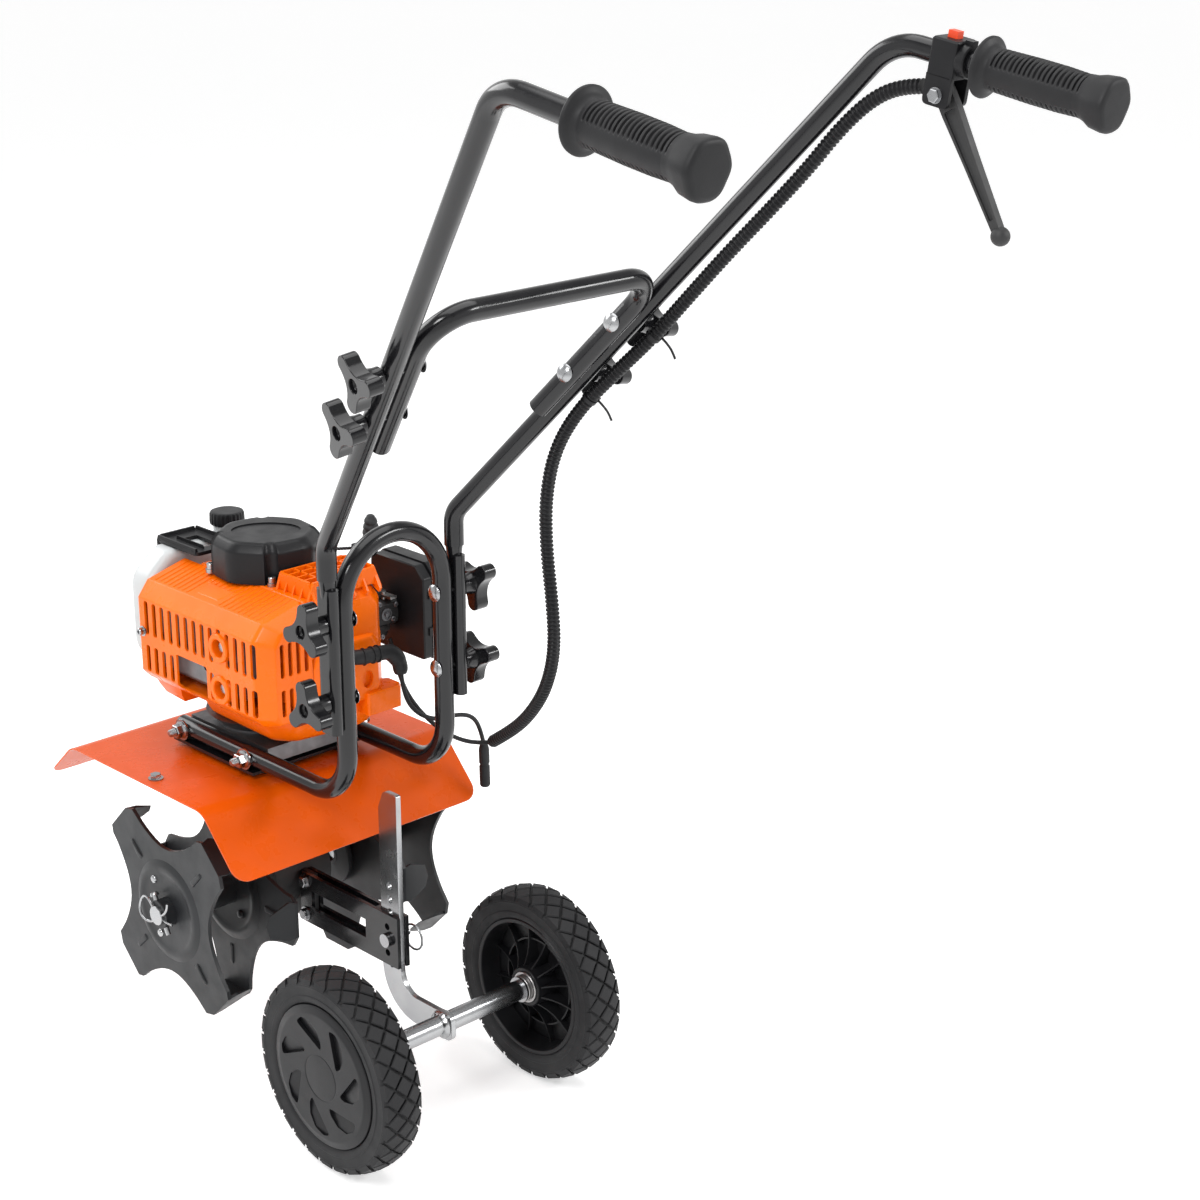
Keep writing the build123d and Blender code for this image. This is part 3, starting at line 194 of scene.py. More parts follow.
MATERIALS = {
    "orange_plastic": surface(
        "orange_moulding", ((0.86, 0.138, 0.0005), (0.81, 0.126, 0.0005)), (0.24, 0.34),
        grain=1400, bump=0.05, spec=0.22),
    "orange_paint": surface(
        "orange_powder_coat", ((0.62, 0.078, 0.0005), (0.57, 0.070, 0.0005)), (0.24, 0.34),
        grain=1800, bump=0.05, spec=0.22),
    "black_paint": surface(
        "gloss_black_enamel", ((0.004, 0.004, 0.005), (0.007, 0.007, 0.008)), (0.14, 0.22),
        grain=700, bump=0.04, coat=0.1, coat_rough=0.06, spec=0.38),
    "black_plastic": surface(
        "matte_black_moulding", ((0.006, 0.006, 0.007), (0.010, 0.010, 0.011)), (0.32, 0.44),
        grain=1600, bump=0.12, spec=0.24),
    "knob_plastic": surface(
        "gloss_black_phenolic", ((0.006, 0.006, 0.007), (0.009, 0.009, 0.010)), (0.12, 0.22),
        grain=600, bump=0.05, coat=0.1, coat_rough=0.1, spec=0.4),
    "black_rubber": surface(
        "soft_black_rubber", ((0.011, 0.011, 0.012), (0.017, 0.017, 0.018)), (0.46, 0.6),
        grain=1300, bump=0.18, spec=0.24),
    "tyre": surface(
        "tyre_rubber", ((0.012, 0.012, 0.013), (0.020, 0.020, 0.021)), (0.52, 0.7),
        grain=1000, bump=0.25, spec=0.22),
    "black_steel": surface(
        "black_pressed_steel", ((0.009, 0.010, 0.011), (0.016, 0.017, 0.019)), (0.34, 0.5),
        grain=420, bump=0.08, spec=0.32),
    "black_cast": surface(
        "black_casting", ((0.012, 0.012, 0.013), (0.02, 0.02, 0.02)), (0.5, 0.65),
        grain=500, bump=0.35),
    "zinc": surface(
        "zinc_plate", ((0.40, 0.405, 0.41), (0.33, 0.335, 0.345)), (0.22, 0.28),
        grain=900, bump=0.01, patch=16, metal=1.0),
    "zinc_cast": surface(
        "zinc_die_cast", ((0.22, 0.22, 0.23), (0.16, 0.16, 0.17)), (0.35, 0.5),
        grain=500, bump=0.25, metal=0.85),
    "cast": surface(
        "cast_aluminium", ((0.20, 0.20, 0.205), (0.15, 0.15, 0.155)), (0.38, 0.55),
        grain=420, bump=0.4, patch=30, metal=0.9),
    "steel": surface(
        "machined_steel", ((0.52, 0.51, 0.50), (0.40, 0.39, 0.39)), (0.25, 0.4),
        grain=300, bump=0.08, patch=30, metal=1.0),
    "brass": surface("gear_bronze", ((0.62, 0.42, 0.17), (0.5, 0.34, 0.14)), (0.25, 0.4), metal=1.0),
    "red_plastic": surface("switch_red", ((0.75, 0.06, 0.01), (0.68, 0.05, 0.01)), (0.3, 0.4), bump=0.05),
}


def tank_plastic():
    """Milky polyethylene that lets some light through."""
    made, shader = node_material("milky_polyethylene", (0.82, 0.84, 0.83), 0.34)
    tree = made.node_tree
    tree.links.new(two_tones(tree, noise(tree, 20), (0.44, 0.46, 0.465), (0.50, 0.515, 0.52)),
                   shader.inputs["Base Color"])
    shader.inputs["Subsurface Weight"].default_value = 0.12
    shader.inputs["Subsurface Radius"].default_value = (0.012, 0.012, 0.012)
    bumped(tree, shader, noise(tree, 900), 0.05)
    return made


MATERIALS["white_plastic"] = tank_plastic()


def node_slots():
    """The material slot of each CAD node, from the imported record."""
    return {part["node"]: part["material_slot"] for part in frame["record"]["subparts"]}


for node, slot_name in node_slots().items():
    carried = frame["nodes"][node]
    carried.data.materials.clear()
    carried.data.materials.append(MATERIALS[slot_name])


# ---------------------------------------------------------------- floor
def floor_plane(reach=12.0, drop=0.0004):
    """A wide white floor just under the wheels, in metres."""
    mesh = bpy.data.meshes.new("floor")
    corners = ((-reach, -reach), (reach, -reach), (reach, reach), (-reach, reach))
    mesh.from_pydata([(x, y, -drop) for x, y in corners], [], [(0, 1, 2, 3)])
    sheet, shader = node_material("studio_floor", (0.8, 0.8, 0.8), 0.6)
    shader.inputs["Emission Color"].default_value = (1.0, 1.0, 1.0, 1.0)
    shader.inputs["Emission Strength"].default_value = 0.48
    mesh.materials.append(sheet)
    made = bpy.data.objects.new("floor", mesh)
    bpy.context.scene.collection.objects.link(made)


floor_plane()


# ---------------------------------------------------------------- mesh helpers, all in millimetres
def frame_at(origin, out, across=(1, 0, 0)):
    """A local frame at a point: z along out, and x as near to across as it can be."""
    z = Vector(out).normalized()
    x = Vector(across)
    if z.cross(x).length < 0.05:
        x = Vector((0, 1, 0))
    x = (x - z * x.dot(z)).normalized()
    made = Matrix((x, z.cross(x), z)).transposed().to_4x4()
    made.translation = Vector(origin)
    return made


def side_frame(side, x, y, z):
    """A frame on one side of the machine, x to the front and z outward."""
    return frame_at((side * x, y, z), (side, 0, 0), (0, 1, 0))


HERE = Matrix.Identity(4)


def polar(radius, degrees):
    """A point of the plane from its distance and its angle."""
    return radius * math.cos(math.radians(degrees)), radius * math.sin(math.radians(degrees))


def skin(bm, rows, around=True):
    """Quads between rows of vertices."""
    for row, following in zip(rows, rows[1:]):
        for i in range(len(row) if around else len(row) - 1):
            j = (i + 1) % len(row)
            corners = list(dict.fromkeys((row[i], row[j], following[j], following[i])))
            if len(corners) > 2:
                bm.faces.new(corners)


def lathe(bm, profile, place=HERE, steps=96):
    """Turns a profile of (radius, height) about the local z axis; one that starts off the axis is closed."""
    rows = []
    for radius, height in profile:
        if radius < 1e-6:
            rows.append([bm.verts.new(place @ Vector((0, 0, height)))] * steps)
        else:
            rows.append([bm.verts.new(place @ Vector((*polar(radius, 360 * i / steps), height)))
                         for i in range(steps)])
    if profile[0][0] > 1e-6:
        rows.append(rows[0])
    skin(bm, rows)


def cylinder(bm, radius, low_z, high_z, place, steps=32):
    """A plain washer, pin or bore, as one element of a larger piece."""
    lathe(bm, ((0, low_z), (radius, low_z), (radius, high_z), (0, high_z)), place, steps)


def prism(bm, outline, low_z, high_z, place=HERE, upper=None):
    """A flat outline raised from one height to another; the upper outline may differ."""
    below = [bm.verts.new(place @ Vector((x, y, low_z))) for x, y in outline]
    above = [bm.verts.new(place @ Vector((x, y, high_z))) for x, y in (upper or outline)]
    bm.faces.new(below[::-1])
    bm.faces.new(above)
    skin(bm, [below, above])


def loft(bm, levels, place=HERE):
    """A closed solid through outlines at rising heights: (outline, z) pairs with equal point counts."""
    rows = [[bm.verts.new(place @ Vector((x, y, z))) for x, y in outline] for outline, z in levels]
    skin(bm, rows)
    bm.faces.new(rows[0][::-1])
    bm.faces.new(rows[-1])


def ellipse(half_x, half_y, steps, degrees=0):
    """An ellipse's outline, turned by some degrees."""
    turned = Matrix.Rotation(math.radians(degrees), 2)
    angles = (2 * math.pi * k / steps for k in range(steps))
    return [tuple(turned @ Vector((half_x * math.cos(t), half_y * math.sin(t)))) for t in angles]


def scaled(outline, share, centre=(0, 0)):
    """An outline drawn in towards a centre."""
    return [(centre[0] + (x - centre[0]) * share, centre[1] + (y - centre[1]) * share) for x, y in outline]


def absorb(bm, piece):
    """Takes a finished piece's mesh back into a bmesh drawn in millimetres."""
    start = len(bm.verts)
    bm.from_mesh(piece.data)
    bm.verts.ensure_lookup_table()
    bmesh.ops.scale(bm, vec=(1 / MM,) * 3, verts=bm.verts[start:])
    bpy.data.objects.remove(piece)


def reopened(piece):
    """A finished piece as a bmesh again, for more to be added."""
    bm = bmesh.new()
    absorb(bm, piece)
    return bm


def box(bm, low_corner, high_corner, place=HERE):
    """A block between two corners of a local frame."""
    (x0, y0, z0), (x1, y1, z1) = low_corner, high_corner
    prism(bm, ((x0, y0), (x1, y0), (x1, y1), (x0, y1)), z0, z1, place)


def hull(bm, points):
    """The convex solid around some points."""
    made = bmesh.ops.convex_hull(bm, input=[bm.verts.new(p) for p in points])
    bmesh.ops.delete(bm, geom=[v for v in made["geom_interior"] if isinstance(v, bmesh.types.BMVert)],
                     context="VERTS")


def hose(bm, points, radii, sides=14):
    """A round section carried along points; radii is one size or one for each point."""
    points = [Vector(p) for p in points]
    radii = radii if hasattr(radii, "__len__") else [radii] * len(points)
    count = len(points)
    side, rows = None, []
    for i, point in enumerate(points):
        ahead = (points[min(i + 1, count - 1)] - points[max(i - 1, 0)]).normalized()
        side = ahead.orthogonal() if side is None else side
        side = (side - ahead * side.dot(ahead)).normalized()
        other = ahead.cross(side)
        turns = (2 * math.pi * k / sides for k in range(sides))
        rows.append([bm.verts.new(point + (side * math.cos(t) + other * math.sin(t)) * radii[i])
                     for t in turns])
    skin(bm, rows)
    bm.faces.new(rows[0][::-1])
    bm.faces.new(rows[-1])


def rounded(outline, radius, steps=5):
    """A closed outline with its corners rounded; radius is one size or one for each corner."""
    made = []
    count = len(outline)
    sizes = radius if hasattr(radius, "__len__") else [radius] * count
    for i, size in enumerate(sizes):
        corner = Vector(outline[i])
        back, ahead = Vector(outline[i - 1]) - corner, Vector(outline[(i + 1) % count]) - corner
        if size <= 0:
            made.append(tuple(corner))
            continue
        reach = min(size / math.tan(back.angle(ahead) / 2), 0.48 * back.length, 0.48 * ahead.length)
        start, end = corner + back.normalized() * reach, corner + ahead.normalized() * reach
        for k in range(steps + 1):
            t = k / steps
            made.append(tuple(start * (1 - t) ** 2 + corner * 2 * t * (1 - t) + end * t * t))
    return made


def smooth_line(points, per_run=6):
    """A curve through given points, for wires and bent rods."""
    points = [Vector(p) for p in points]
    made = []
    for i in range(len(points) - 1):
        a, b = points[i], points[i + 1]
        before, after = points[max(i - 1, 0)], points[min(i + 2, len(points) - 1)]
        lean_a, lean_b = (b - before) / 2, (after - a) / 2
        for k in range(per_run):
            t = k / per_run
            made.append(a * (2 * t ** 3 - 3 * t ** 2 + 1) + lean_a * (t ** 3 - 2 * t ** 2 + t)
                        + b * (3 * t ** 2 - 2 * t ** 3) + lean_b * (t ** 3 - t ** 2))
    return made + [points[-1]]


def solid(name, bm):
    """A mesh object from a bmesh drawn in millimetres."""
    bmesh.ops.recalc_face_normals(bm, faces=bm.faces)
    mesh = bpy.data.meshes.new(name)
    bm.to_mesh(mesh)
    bm.free()
    mesh.transform(Matrix.Scale(MM, 4))
    made = bpy.data.objects.new(name, mesh)
    bpy.context.scene.collection.objects.link(made)
    return made


def bake(piece):
    """Applies the piece's modifiers."""
    mesh = bpy.data.meshes.new_from_object(piece.evaluated_get(bpy.context.evaluated_depsgraph_get()))
    piece.modifiers.clear()
    piece.data = mesh


def cut(piece, bm):
    """Cuts a solid, drawn as a bmesh, out of the piece."""
    other = solid("cutter", bm)
    modifier = piece.modifiers.new("cut", "BOOLEAN")
    modifier.operation, modifier.object, modifier.solver = "DIFFERENCE", other, "EXACT"
    bake(piece)
    bpy.data.objects.remove(other)


def soften(piece, width, segments=2, angle=35):
    """Rounds the sharp edges and gives the piece back."""
    modifier = piece.modifiers.new("edge", "BEVEL")
    modifier.width, modifier.segments, modifier.limit_method = width * MM, segments, "ANGLE"
    modifier.angle_limit = math.radians(angle)
    modifier.use_clamp_overlap = True
    bake(piece)
    return piece


def settle(piece, slot_name, body, stands_for=(), sharp=38):
    """Shades the piece, gives it its material and its body, and hides what it stands for."""
    piece.data.shade_smooth()
    piece.data.set_sharp_from_angle(angle=math.radians(sharp))
    flat = piece.modifiers.new("flat_faces_first", "WEIGHTED_NORMAL")
    flat.keep_sharp = True
    piece.data.materials.clear()
    piece.data.materials.append(MATERIALS[slot_name])
    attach(piece, body)
    if stands_for:
        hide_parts(*stands_for)


# ---------------------------------------------------------------- wheels
WHEEL_R = high("left_tyre").z / 2
AXLE = middle("wheel_axle")
WHEEL_X = middle("right_tyre").x
RIM_R = (high("right_hub_cap").z - low("right_hub_cap").z) / 2
BEARING_INNER = 10.05
BEARING_R = (high("wheel_bearings").z - low("wheel_bearings").z) / 2
TREAD_PITCHES = 28
SIDES = (("left", -1), ("right", 1))


def crown(across):
    """The tread's outer radius at a distance from the tyre's middle."""
    return WHEEL_R - 0.2 - 0.011 * across ** 2


def tread_point(turn, along, across, radius, place):
    """A point of the tread; along is measured round the tyre."""
    angle = turn + along / WHEEL_R
    return place @ Vector((radius * math.cos(angle), radius * math.sin(angle), across))


def tread_block(bm, turn, across, place):
    """One diamond block, narrower at its top."""
    points = []
    for share, depth in ((1.0, 5.0), (1.0, 1.0), (0.86, 0.0)):
        for along, aside in ((9.7, 0), (0, 9.1), (-9.7, 0), (0, -9.1)):
            h = across + aside * share
            points.append(tread_point(turn, along * share, h, crown(h) - depth, place))
    hull(bm, points)


def shoulder_block(bm, turn, side, place):
    """Half a diamond that wraps onto the side wall."""
    points = []
    for along, across, radius in ((0, 12.6, crown(12.6)), (8.6, 19.6, crown(19.6)),
                                  (-8.6, 19.6, crown(19.6)), (7.4, 21.0, 90.5), (-7.4, 21.0, 90.5),
                                  (0, 12.6, 92), (6, 19, 88), (-6, 19, 88)):
        points.append(tread_point(turn, along, side * across, radius, place))
    hull(bm, points)


def tyre(name, place):
    """Side walls and crown in section, with rows of blocks over them."""
    half = ((RIM_R, 18.4), (73.4, 20.0), (76, 20.8), (79.0, 20.9), (80.0, 20.2), (87.5, 20.4), (88.6, 20.9),
            (91, 20.4), (93.4, 18.4), (94.6, 15.0), (95.6, 9.0), (95.9, 3.0))
    bm = bmesh.new()
    lathe(bm, [*half, *[(r, -h) for r, h in half[::-1]]], place, 128)
    for pitch in range(TREAD_PITCHES):
        turn = 2 * math.pi * pitch / TREAD_PITCHES
        half_turn = turn + math.pi / TREAD_PITCHES
        tread_block(bm, turn, 0, place)
        for across in (-1, 1):
            tread_block(bm, half_turn, across * 10.6, place)
            shoulder_block(bm, turn, across, place)
    settle(solid(f"{name}_tyre_with_tread", bm), "tyre", f"{name}_wheel", [f"{name}_tyre"], 28)


def hub_cap(name, place):
    """A domed disc with seven swirling recesses, each deep on one side and running out on the other."""
    bm = bmesh.new()
    lathe(bm, ((0, 16.5), (69.5, 16.5), (RIM_R - 0.6, 17.4), (RIM_R - 0.6, 19.6), (70.2, 20.8), (66.0, 21.6),
               (64.6, 22.5), (62, 22.9), (24.0, 22.9), (23.3, 22.4), (22.4, 22.4), (21.7, 22.9), (0, 22.9)),
          place, 128)
    cap = solid(f"{name}_hub_cap_disc", bm)
    bm = bmesh.new()
    outline = [polar(r, -a) for r, a in ((58, 2), (60, 12), (57, 24), (48, 35), (37, 42), (29, 43))]
    for fin in range(7):
        spin = Matrix.Rotation(2 * math.pi * fin / 7, 4, "Z")
        shape = rounded(outline, 4.5, 4)
        leading = Vector(outline[-1]) - Vector(outline[0])
        normal = Vector((leading.y, -leading.x)).normalized()
        far = max(abs((Vector(p) - Vector(outline[0])).dot(normal)) for p in shape)
        below, above = [], []
        for point in shape:
            share = abs((Vector(point) - Vector(outline[0])).dot(normal)) / far
            below.append(bm.verts.new(place @ spin @ Vector((*point, 18.4 + 3.4 * share))))
            above.append(bm.verts.new(place @ spin @ Vector((*point, 26))))
        bm.faces.new(below)
        bm.faces.new(above)
        skin(bm, [below, above])
    cut(cap, bm)
    soften(cap, 0.7, 2, 50)
    settle(cap, "black_plastic", f"{name}_wheel", [f"{name}_hub_cap"], 45)


def rim(name, place):
    """Barrel, web and hub with twelve ribs whose edges fall away from the hub."""
    bm = bmesh.new()
    lathe(bm, ((RIM_R, -18.2), (RIM_R - 1.2, -19.4), (RIM_R - 4.4, -19.4), (RIM_R - 5.6, -18.0),
               (RIM_R - 6.4, -4), (RIM_R - 8, 3.4), (RIM_R, 3.8)), place, 112)
    lathe(bm, ((BEARING_R + 0.2, 5), (RIM_R - 4, 5), (RIM_R - 4, 8.5), (BEARING_R + 0.2, 8.5)), place, 112)
    lathe(bm, ((BEARING_R + 0.1, -18.6), (BEARING_R + 1.6, -19.4), (BEARING_R + 3.6, -19.4),
               (BEARING_R + 4.6, -18.2), (BEARING_R + 6.4, 5.5), (BEARING_R + 0.1, 5.5)), place, 64)
    lathe(bm, ((44.3, 6), (44.3, -1.5), (45.9, -1.5), (45.9, 6)), place, 96)
    edge = ((19.0, -17.6), (24, -13.5), (30, -9.2), (38, -5.4), (48, -2.6), (58, -1.2), (66.5, -0.8))
    for rib in range(12):
        spin = place @ Matrix.Rotation(math.radians(30 * rib + 15), 4, "Z")
        rows = []
        for aside in (-1.1, 1.1):
            lower = [bm.verts.new(spin @ Vector((r, aside, 6))) for r, _ in edge]
            upper = [bm.verts.new(spin @ Vector((r, aside * 0.7, h))) for r, h in edge]
            rows.append((lower, upper))
        (low_a, up_a), (low_b, up_b) = rows
        skin(bm, [low_a, up_a, up_b, low_b, low_a], around=False)
        for end in (0, -1):
            bm.faces.new((low_a[end], up_a[end], up_b[end], low_b[end]))
    settle(solid(f"{name}_ribbed_rim", bm), "black_plastic", f"{name}_wheel", [f"{name}_rim"], 40)


def bearing_face(bm, start, end, place):
    """A ball bearing's two faces: outer race, sunk seal and inner race."""
    inner, outer = BEARING_INNER, BEARING_R
    lathe(bm, ((inner, start + 0.4), (inner + 0.4, start), (inner + 1.5, start), (inner + 1.7, start + 0.7),
               (outer - 2.0, start + 0.7), (outer - 1.7, start), (outer - 0.4, start), (outer, start + 0.4),
               (outer, end), (inner, end)), place, 64)


bearings = bmesh.new()
for side_name, side_sign in SIDES:
    hub_frame = side_frame(side_sign, WHEEL_X, AXLE.y, WHEEL_R)
    tyre(side_name, hub_frame)
    hub_cap(side_name, hub_frame)
    rim(side_name, hub_frame)
    bearing_face(bearings, -20.4, -8.1, hub_frame)
    lathe(bearings, ((BEARING_INNER, -25.5), (13.0, -25.5), (13.4, -25.1), (13.4, -20.6),
                     (BEARING_INNER, -20.6)), hub_frame, 48)
    bearing_face(bearings, 4.1, 13.0, hub_frame)
settle(solid("ball_bearings_and_collars", bearings), "steel", "wheel_carriage", ["wheel_bearings"], 30)

# ---------------------------------------------------------------- handlebars: grips, knobs and bolts
TUBE_R = 9.5
BAR_BEND_1 = Vector((75.5, ROTOR.y - 190, 588))
BAR_BEND_2 = Vector((213, ROTOR.y - 587, 1044))
BAR_END = Vector((221, ROTOR.y - 795, 1011))
FLANGE_SHARE = 0.428
GRIP_START = BAR_BEND_2.lerp(BAR_END, FLANGE_SHARE)
SLOPE = (BAR_BEND_2 - BAR_BEND_1).normalized()
INWARD = (Vector((-1, 0, 0)) + SLOPE * SLOPE.x).normalized()


def mirrored(point, side):
    """A point given for the right side, on either side."""
    return Vector((side * point[0], point[1], point[2]))


def window(value, low_end, high_end, soft):
    """1 inside a range, 0 outside it, with soft ends."""
    rise = min(max((value - low_end) / soft, 0), 1)
    fall = min(max((high_end - value) / soft, 0), 1)
    return (rise * rise * (3 - 2 * rise)) * (fall * fall * (3 - 2 * fall))


def grip(name, side):
    """A moulded grip: flange, two fields of grooves, smooth side pads and a flared end."""
    start, tip = mirrored(GRIP_START, side), mirrored(BAR_END, side)
    place = frame_at(start, tip - start)
    length = (tip - start).length + 3
    outline = ((0, 19.5), (0.5, 22.0), (1.8, 23.7), (3.6, 23.9), (5.0, 22.6), (6.2, 20.0), (8.0, 17.8),
               (11, 16.6), (26, 16.9), (50, 17.4), (75, 17.3), (94, 16.5), (102, 17.4), (108, 19.3),
               (length - 6, 20.4), (length - 2.5, 20.2), (length - 0.7, 18.6), (length, 15.5))
    stations = sorted({s for s, _ in outline} | {11 + 0.55 * i for i in range(160)})
    bm = bmesh.new()
    rows = [[bm.verts.new(place @ Vector((0, 0, 0)))] * 96]
    for s in stations:
        before = max((p for p in outline if p[0] <= s), key=lambda p: p[0])
        after = min((p for p in outline if p[0] >= s), key=lambda p: p[0])
        share = (s - before[0]) / max(after[0] - before[0], 1e-6)
        radius = before[1] + (after[1] - before[1]) * share
        row = []
        for i in range(96):
            degrees = 360 * i / 96
            tall = math.sin(math.radians(degrees))
            reach = radius * (1 + 0.035 * tall * tall)
            over = math.degrees(math.acos(min(max(tall, -1), 1)))
            field = max(window(over, -40, 74, 6), window(over, 128, 230, 6)) * window(s, 12, 98, 3)
            reach -= 1.9 * field * window((s % 4.5) / 4.5, 0.28, 0.78, 0.12)
            swell = window(s, 96, 140, 14)
            reach += swell * (1.8 * max(-tall, 0) ** 2 + 0.5 * math.cos(math.radians(6 * degrees)))
            row.append(bm.verts.new(place @ Vector((*polar(reach, degrees), s))))
        rows.append(row)
    rows.append([bm.verts.new(place @ Vector((0, 0, length)))] * 96)
    skin(bm, rows)
    settle(solid(f"{name}_ribbed_grip", bm), "black_rubber", "chassis", [f"{name}_grip"], 60)


for side_name, side_sign in SIDES:
    grip(side_name, side_sign)

KNOB_BOSS, KNOB_THICK, LOBE_REACH, LOBE_R = 12.0, 14.0, 20.0, 7.5


def star_outline(start):
    """Three round lobes joined by hollow sides."""
    made = []
    for lobe in range(3):
        heading = start + 120 * lobe
        centre = Vector(polar(LOBE_REACH, heading))
        arc = [centre + Vector(polar(LOBE_R, heading + 84 - 12 * k)) for k in range(15)][::-1]
        following = Vector(polar(LOBE_REACH, heading + 120)) + Vector(polar(LOBE_R, heading + 120 - 84))
        waist = Vector(polar(6.6, heading + 60))
        made += arc
        for k in range(1, 8):
            t = k / 8
            made.append(arc[-1] * (1 - t) ** 2 + waist * 2 * t * (1 - t) + following * t * t)
    return [tuple(p) for p in made]


def star_knob(node, seat, out, start):
    """A three-lobed knob with its boss and a recess for the nut."""
    place = frame_at(seat, out, (0, 1, 0))
    bm = bmesh.new()
    prism(bm, star_outline(start), KNOB_BOSS, KNOB_BOSS + KNOB_THICK, place)
    knob = solid(f"{node}_moulding", bm)
    bm = bmesh.new()
    lathe(bm, ((0, KNOB_BOSS + 4), (4.6, KNOB_BOSS + 4), (4.6, KNOB_BOSS + 9.5), (6.4, KNOB_BOSS + 9.5),
               (6.4, KNOB_BOSS + 20), (0, KNOB_BOSS + 20)), place, 40)
    cut(knob, bm)
    soften(knob, 1.7, 3, 50)
    bm = reopened(knob)
    lathe(bm, ((4.3, 0), (8.6, 0), (9.2, 0.6), (9.2, 5), (10.4, KNOB_BOSS - 1), (11.6, KNOB_BOSS + 3),
               (4.3, KNOB_BOSS + 3)), place, 48)
    settle(solid(f"{node}_moulding", bm), "knob_plastic", node, [node], 40)


def carriage_bolt(bm, head, out, length):
    """A domed head and a threaded shank."""
    place = frame_at(head, out)
    lathe(bm, ((0, -3.6), (2.5, -3.45), (5.0, -2.8), (7.2, -1.6), (8.4, -0.4), (8.4, 0), (0, 0)), place, 40)
    thread = [(0, -0.2), (3.9, -0.2)]
    turns = int((length - 20) / 1.25)
    for turn in range(turns):
        z = 20 + 1.25 * turn
        thread += [(3.95, z), (3.45, z + 0.62)]
    thread += [(3.9, length - 0.8), (3.2, length), (0, length)]
    lathe(bm, thread, place, 24)


CROSS_STATIONS = (("lower", 0.33), ("upper", 0.44))
CROSS_GAP = 2 * TUBE_R + 0.1
POST_BOLTS = (("lower", 438.0), ("upper", 514.0))
POST_X = high("lower_frame").x - TUBE_R
POST_Y = ROTOR.y - 190
POST_KNOB_X = 82.2


def cross_bolt(station, side, offset):
    """A point on a bolt through the cross tube, at a distance in from the bar's middle."""
    return mirrored(BAR_BEND_1.lerp(BAR_BEND_2, station) + INWARD * offset, side)


bolts = bmesh.new()
for side_name, side_sign in SIDES:
    for (tag, bolt_z), lobe_start in zip(POST_BOLTS, (40, 20)):
        outward = Vector((side_sign, 0, 0))
        seat = Vector((side_sign * POST_KNOB_X, POST_Y, bolt_z))
        star_knob(f"{side_name}_{tag}_post_knob", seat, outward, lobe_start)
        carriage_bolt(bolts, Vector((side_sign * (POST_X - TUBE_R - 0.1), POST_Y, bolt_z)), outward, 52)
    for (tag, station), lobe_start in zip(CROSS_STATIONS, (62, 66)):
        seat = cross_bolt(station, side_sign, -TUBE_R - 0.4)
        outward = (seat - cross_bolt(station, side_sign, 0)).normalized()
        star_knob(f"{side_name}_{tag}_bar_knob", seat, outward, lobe_start)
        carriage_bolt(bolts, cross_bolt(station, side_sign, CROSS_GAP + TUBE_R + 0.1), outward, 58)
settle(solid("domed_carriage_bolts", bolts), "zinc", "chassis", ["carriage_bolts"], 30)

# ---------------------------------------------------------------- engine covers
ENGINE = Matrix.Translation((0, ROTOR.y, 0))                    # x, y past the tine axis, z
SIDE_ON = frame_at((0, ROTOR.y, 0), (1, 0, 0), (0, 1, 0))       # y past the tine axis, z, x
END_ON = frame_at((0, ROTOR.y, 0), (0, -1, 0), (1, 0, 0))       # x, z, y behind the tine axis


def engine_frame(spot, out, across=(1, 0, 0)):
    """A local frame at a point given past the tine axis."""
    return frame_at(ENGINE @ Vector(spot), out, across)


def at_engine(*points):
    """Points given past the tine axis, in the machine's frame."""
    return [ENGINE @ Vector(p) for p in points]


def rounded_rectangle(centre_a, centre_b, width, height, radius):
    """A rectangle's outline with round corners."""
    a, b = width / 2, height / 2
    return rounded([(centre_a - a, centre_b - b), (centre_a + a, centre_b - b),
                    (centre_a + a, centre_b + b), (centre_a - a, centre_b + b)], radius, 4)


def panel_block(bm, stations):
    """A convex block from outlines in x and z at several y."""
    hull(bm, at_engine(*[(x, y, z) for y, outline in stations for x, z in outline]))


def hex_outline(across_flats):
    """A hexagon's outline."""
    return [polar(across_flats / math.sqrt(3), 60 * k) for k in range(6)]


def hex_head(bm, place, across_flats, start, end):
    """A hexagon with chamfered corners at its far end."""
    prism(bm, hex_outline(across_flats), start, end - 0.8, place)
    prism(bm, hex_outline(across_flats), end - 0.8, end, place, hex_outline(across_flats * 0.88))


def washer_bolt(bm, place, washer_r, washer, across_flats, top, steps=32):
    """A hexagon head on a washer."""
    cylinder(bm, washer_r, 0, washer, place, steps)
    hex_head(bm, place, across_flats, washer - 0.2, top)


def flange_nut(bm, place, size, stub):
    """Flange nut on a stud: washer, flange, hexagon and threaded stub."""
    cylinder(bm, size * 1.35, -0.2, 1.5, place, 36)
    lathe(bm, ((0, 1.5), (size * 1.12, 1.5), (size * 1.12, 2.3), (size * 0.86, 3.6), (0, 3.6)), place, 36)
    hex_head(bm, place, size * 1.62, 3.2, 3.2 + size * 0.85)
    top = 3.2 + size * 0.85
    thread = [(0, top - 2)]
    for turn in range(int(stub)):
        thread += [(size * 0.5, top + turn), (size * 0.43, top + turn + 0.5)]
    thread += [(size * 0.42, top + stub), (size * 0.3, top + stub + 0.6), (0, top + stub + 0.6)]
    lathe(bm, thread, place, 24)


